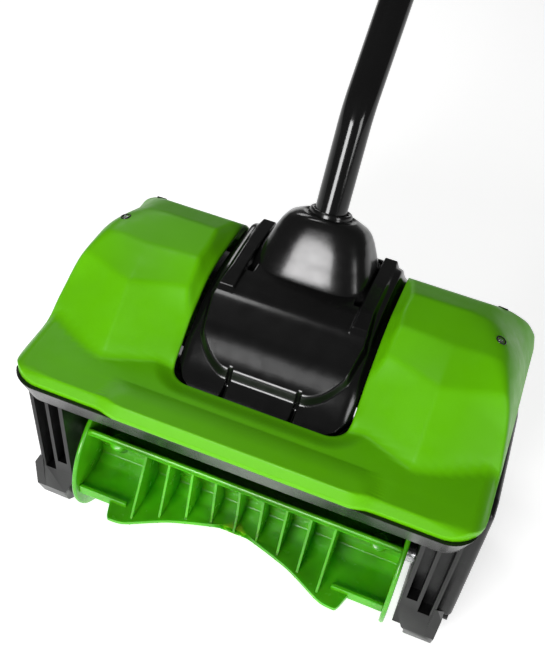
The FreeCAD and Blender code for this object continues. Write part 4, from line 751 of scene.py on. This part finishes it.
class SHOVEL_OT_rotor(bpy.types.Operator):
    """Mould the green rotor: two scooped paddles with ribs, end discs, hub and bosses"""
    bl_idname = "shovel.rotor"
    bl_label = "Rotor"

    def execute(self, context):
        x = np.unique(np.concatenate([np.linspace(-DISC_INNER, DISC_INNER, 181),
                                      np.linspace(-109, -99, 16), np.linspace(99, 109, 16)]))
        sheet = trough_points(x, 40)
        for index, half in enumerate(both_halves(sheet)):
            mesh = mesh_of(f"rotor_paddle_{index}", to_rotor(half), grid_faces(*half.shape[:2]))
            if index:
                mesh.flip_normals()
            paddle = piece(f"rotor_paddle_{index}", mesh, "rotor_green", "rotor",
                           () if index else ("rotor_moulding",))
            walled(paddle, 3.0 * MM, -1.0)
            bevelled(paddle, 0.5 * MM, 2)
        offsets = (np.arange(RIB_COUNT) - (RIB_COUNT - 1) / 2) * RIB_PITCH
        across = np.linspace(0, 1, 8)[None, :, None]
        for number, offset in enumerate(offsets):
            line = trough_points(np.array([offset]), 40)[0]
            t = np.linspace(0, 1, len(line))[:, None]
            chord = (line[0] + np.array([0, 2.6, 0.4])) * (1 - t) + (line[-1] + np.array([0, 1.2, -0.8])) * t
            web = line[:, None] * (1 - across) + chord[:, None] * across
            for index, half in enumerate(both_halves(web)):
                name = f"rotor_rib_{number}_{index}"
                mesh = mesh_of(name, to_rotor(half), grid_faces(*half.shape[:2]))
                rib = piece(name, mesh, "rotor_green", "rotor")
                walled(rib, 1.9 * MM, 0.0, False)
                bevelled(rib, 0.4 * MM, 2)
        for index, side in enumerate((-1, 1)):
            start = side * DISC_INNER
            profile = [(0, 0.0), (0, 60.6), (0.5, 61.6), (1.5, DISC_RADIUS), (2.5, DISC_RADIUS), (3.5, 61.6),
                       (4, 60.6), (4, 0.0)]
            mesh = turned(f"rotor_disc_{index}", np.array(profile) * MM,
                          np.array([start, 0, ROTOR_AXIS_Z]) * MM, (side, 0, 0), 128)
            piece(f"rotor_disc_{index}", mesh, "rotor_green", "rotor")
            for number, half in enumerate(both_halves(np.array([side * 116.0, -12.0, 14.0]))):
                away = np.array([0.0, -0.6, 0.8]) * (-1 if number else 1)
                boss = [(0, 0.0), (0, 8), (15.5, 7.4), (17, 6.6), (17.6, 5.0), (17.6, 0.0)]
                name = f"rotor_boss_{index}_{number}"
                mesh = turned(name, np.array(boss) * MM, to_rotor(half), away, 48)
                piece(name, mesh, "rotor_green", "rotor")
                lip = np.array([[91, -53.3], [DISC_INNER, -53.3], [DISC_INNER, -56.7], [91, -56.7]])
                wide = lip[:, 0] * side
                low = np.stack([wide, lip[:, 1], np.full(4, -11.4)], -1)
                high = np.stack([wide, lip[:, 1], np.full(4, -2.4)], -1)
                box = np.stack([low, high]) * (np.array([1, -1, -1]) if number else 1)
                name = f"rotor_lip_{index}_{number}"
                mesh = mesh_of(name, to_rotor(box), grid_faces(2, 4, True), ([3, 2, 1, 0], [4, 5, 6, 7]))
                outward(mesh)
                bevelled(piece(name, mesh, "rotor_green", "rotor", smooth=True), 0.8 * MM, 3)
        hub = [(-DISC_INNER, 0.0), (-DISC_INNER, 14.0), (DISC_INNER, 14.0), (DISC_INNER, 0.0)]
        mesh = turned("rotor_hub", np.array(hub) * MM, (0, 0, ROTOR_AXIS_Z * MM), (1, 0, 0), 64)
        piece("rotor_hub", mesh, "rotor_green", "rotor", smooth=True)
        for index, half in enumerate(both_halves(np.stack([np.linspace(-DISC_INNER, DISC_INNER, 60),
                                                           np.full(60, -35.6), np.full(60, 48.2)], -1))):
            mesh = swept(f"rotor_bead_{index}", to_rotor(half), 2.1 * MM, 20)
            piece(f"rotor_bead_{index}", mesh, "rotor_green", "rotor")
        return {"FINISHED"}


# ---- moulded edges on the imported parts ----
EDGE_WIDTHS = {
    "auger_housing": 0.9, "left_side_frame": 0.9, "right_side_frame": 0.9, "belt_cover": 1.2,
    "left_end_plate": 0.9, "rear_cover": 0.6, "scraper_bar": 0.6, "shaft_coupler": 0.7,
    "coupler_knob": 1.2, "aux_clamp_upper": 1.2, "aux_clamp_lower": 1.2, "aux_knob": 1.2,
    "handle_shell_left": 1.4, "handle_shell_right": 1.4, "grip_pad": 0.6, "trigger": 0.9,
    "lock_button": 0.8, "battery_case_upper": 1.2, "battery_case_lower": 1.2, "battery_latch": 0.9,
}


class SHOVEL_OT_moulded_edges(bpy.types.Operator):
    """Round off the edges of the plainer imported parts, as a mould leaves them"""
    bl_idname = "shovel.moulded_edges"
    bl_label = "Moulded edges"

    def execute(self, context):
        for node, width in EDGE_WIDTHS.items():
            softened_copy(node, width * MM, frame["nodes"][node]["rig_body"])
        return {"FINISHED"}


class SHOVEL_OT_stage(bpy.types.Operator):
    """Set the camera, the pale floor and the soft light"""
    bl_idname = "shovel.stage"
    bl_label = "Stage"

    def execute(self, context):
        settings = context.scene.shovel_stage
        scene = context.scene
        camera = bpy.data.objects.new("camera", bpy.data.cameras.new("camera"))
        scene.collection.objects.link(camera)
        camera.data.sensor_fit = "VERTICAL"
        camera.data.sensor_height = 36.0
        camera.data.lens = settings.lens
        camera.data.clip_start = 0.01
        turn = (Matrix.Rotation(settings.azimuth, 4, "Z")
                @ Matrix.Rotation(math.pi / 2 - settings.elevation, 4, "X")
                @ Matrix.Rotation(settings.roll, 4, "Z"))
        camera.matrix_world = Matrix.Translation(settings.camera_position) @ turn
        scene.camera = camera
        scene.view_settings.view_transform = "Standard"

        half = settings.floor_half
        floor_mesh = bpy.data.meshes.new("floor")
        floor_mesh.from_pydata([(-half, -half, 0), (half, -half, 0), (half, half, 0), (-half, half, 0)],
                               [], [(0, 1, 2, 3)])
        floor = bpy.data.objects.new("floor", floor_mesh)
        scene.collection.objects.link(floor)
        white = finish("floor_white", (0.88, 0.88, 0.88), 0.7, 300, 0.00001, 0.005, fixed=(
            ("Emission Color", (1.0, 1.0, 1.0, 1.0)), ("Emission Strength", 0.62)))
        floor_mesh.materials.append(white)

        world = bpy.data.worlds.new("studio")
        world.use_nodes = True
        background = world.node_tree.nodes["Background"]
        background.inputs["Color"].default_value = (1.0, 1.0, 1.0, 1.0)
        background.inputs["Strength"].default_value = 0.12
        scene.world = world
        for name, place, target, size, power in (
                ("key_light", (-0.35, -1.75, 0.80), (0.0, 0.0, 0.2), 0.7, 34.0),
                ("top_light", (-0.5, 0.1, 1.6), (0.0, 0.05, 0.2), 0.35, 3.5),
                ("fill_light", (1.5, -0.9, 0.7), (0.0, 0.0, 0.2), 0.5, 7.0),
                ("rim_light", (-1.0, 1.3, 1.2), (0.0, 0.2, 0.3), 0.5, 5.0)):
            lamp = bpy.data.lights.new(name, "AREA")
            lamp.shape = "SQUARE"
            lamp.size = size
            lamp.energy = power
            light = bpy.data.objects.new(name, lamp)
            scene.collection.objects.link(light)
            aim = Vector(target) - Vector(place)
            facing = aim.to_track_quat("-Z", "Y").to_matrix().to_4x4()
            light.matrix_world = Matrix.Translation(Vector(place) + Vector(DRAWING_POINT)) @ facing
        return {"FINISHED"}


class SHOVEL_PT_panel(bpy.types.Panel):
    """Lists the settings and the pieces"""
    bl_label = "Snow Shovel"
    bl_idname = "SHOVEL_PT_panel"
    bl_space_type = "VIEW_3D"
    bl_region_type = "UI"
    bl_category = "Snow Shovel"

    def draw(self, context):
        layout = self.layout
        for group in (context.scene.shovel_colours, context.scene.shovel_stage):
            for name in group.__annotations__:
                layout.prop(group, name)
        for operator in OPERATORS:
            layout.operator(operator.bl_idname)


OPERATORS = (SHOVEL_OT_finishes, SHOVEL_OT_hood, SHOVEL_OT_motor_cover, SHOVEL_OT_boot, SHOVEL_OT_shaft,
             SHOVEL_OT_rotor, SHOVEL_OT_moulded_edges, SHOVEL_OT_stage)
CLASSES = (ShovelColours, StageSettings, *OPERATORS, SHOVEL_PT_panel)


def register():
    for cls in CLASSES:
        bpy.utils.register_class(cls)
    bpy.types.Scene.shovel_colours = bpy.props.PointerProperty(type=ShovelColours)
    bpy.types.Scene.shovel_stage = bpy.props.PointerProperty(type=StageSettings)


def unregister():
    del bpy.types.Scene.shovel_stage
    del bpy.types.Scene.shovel_colours
    for cls in reversed(CLASSES):
        bpy.utils.unregister_class(cls)


def main():
    register()
    for operator in OPERATORS:
        group, name = operator.bl_idname.split(".")
        getattr(getattr(bpy.ops, group), name)()


if __name__ == "__main__":
    main()
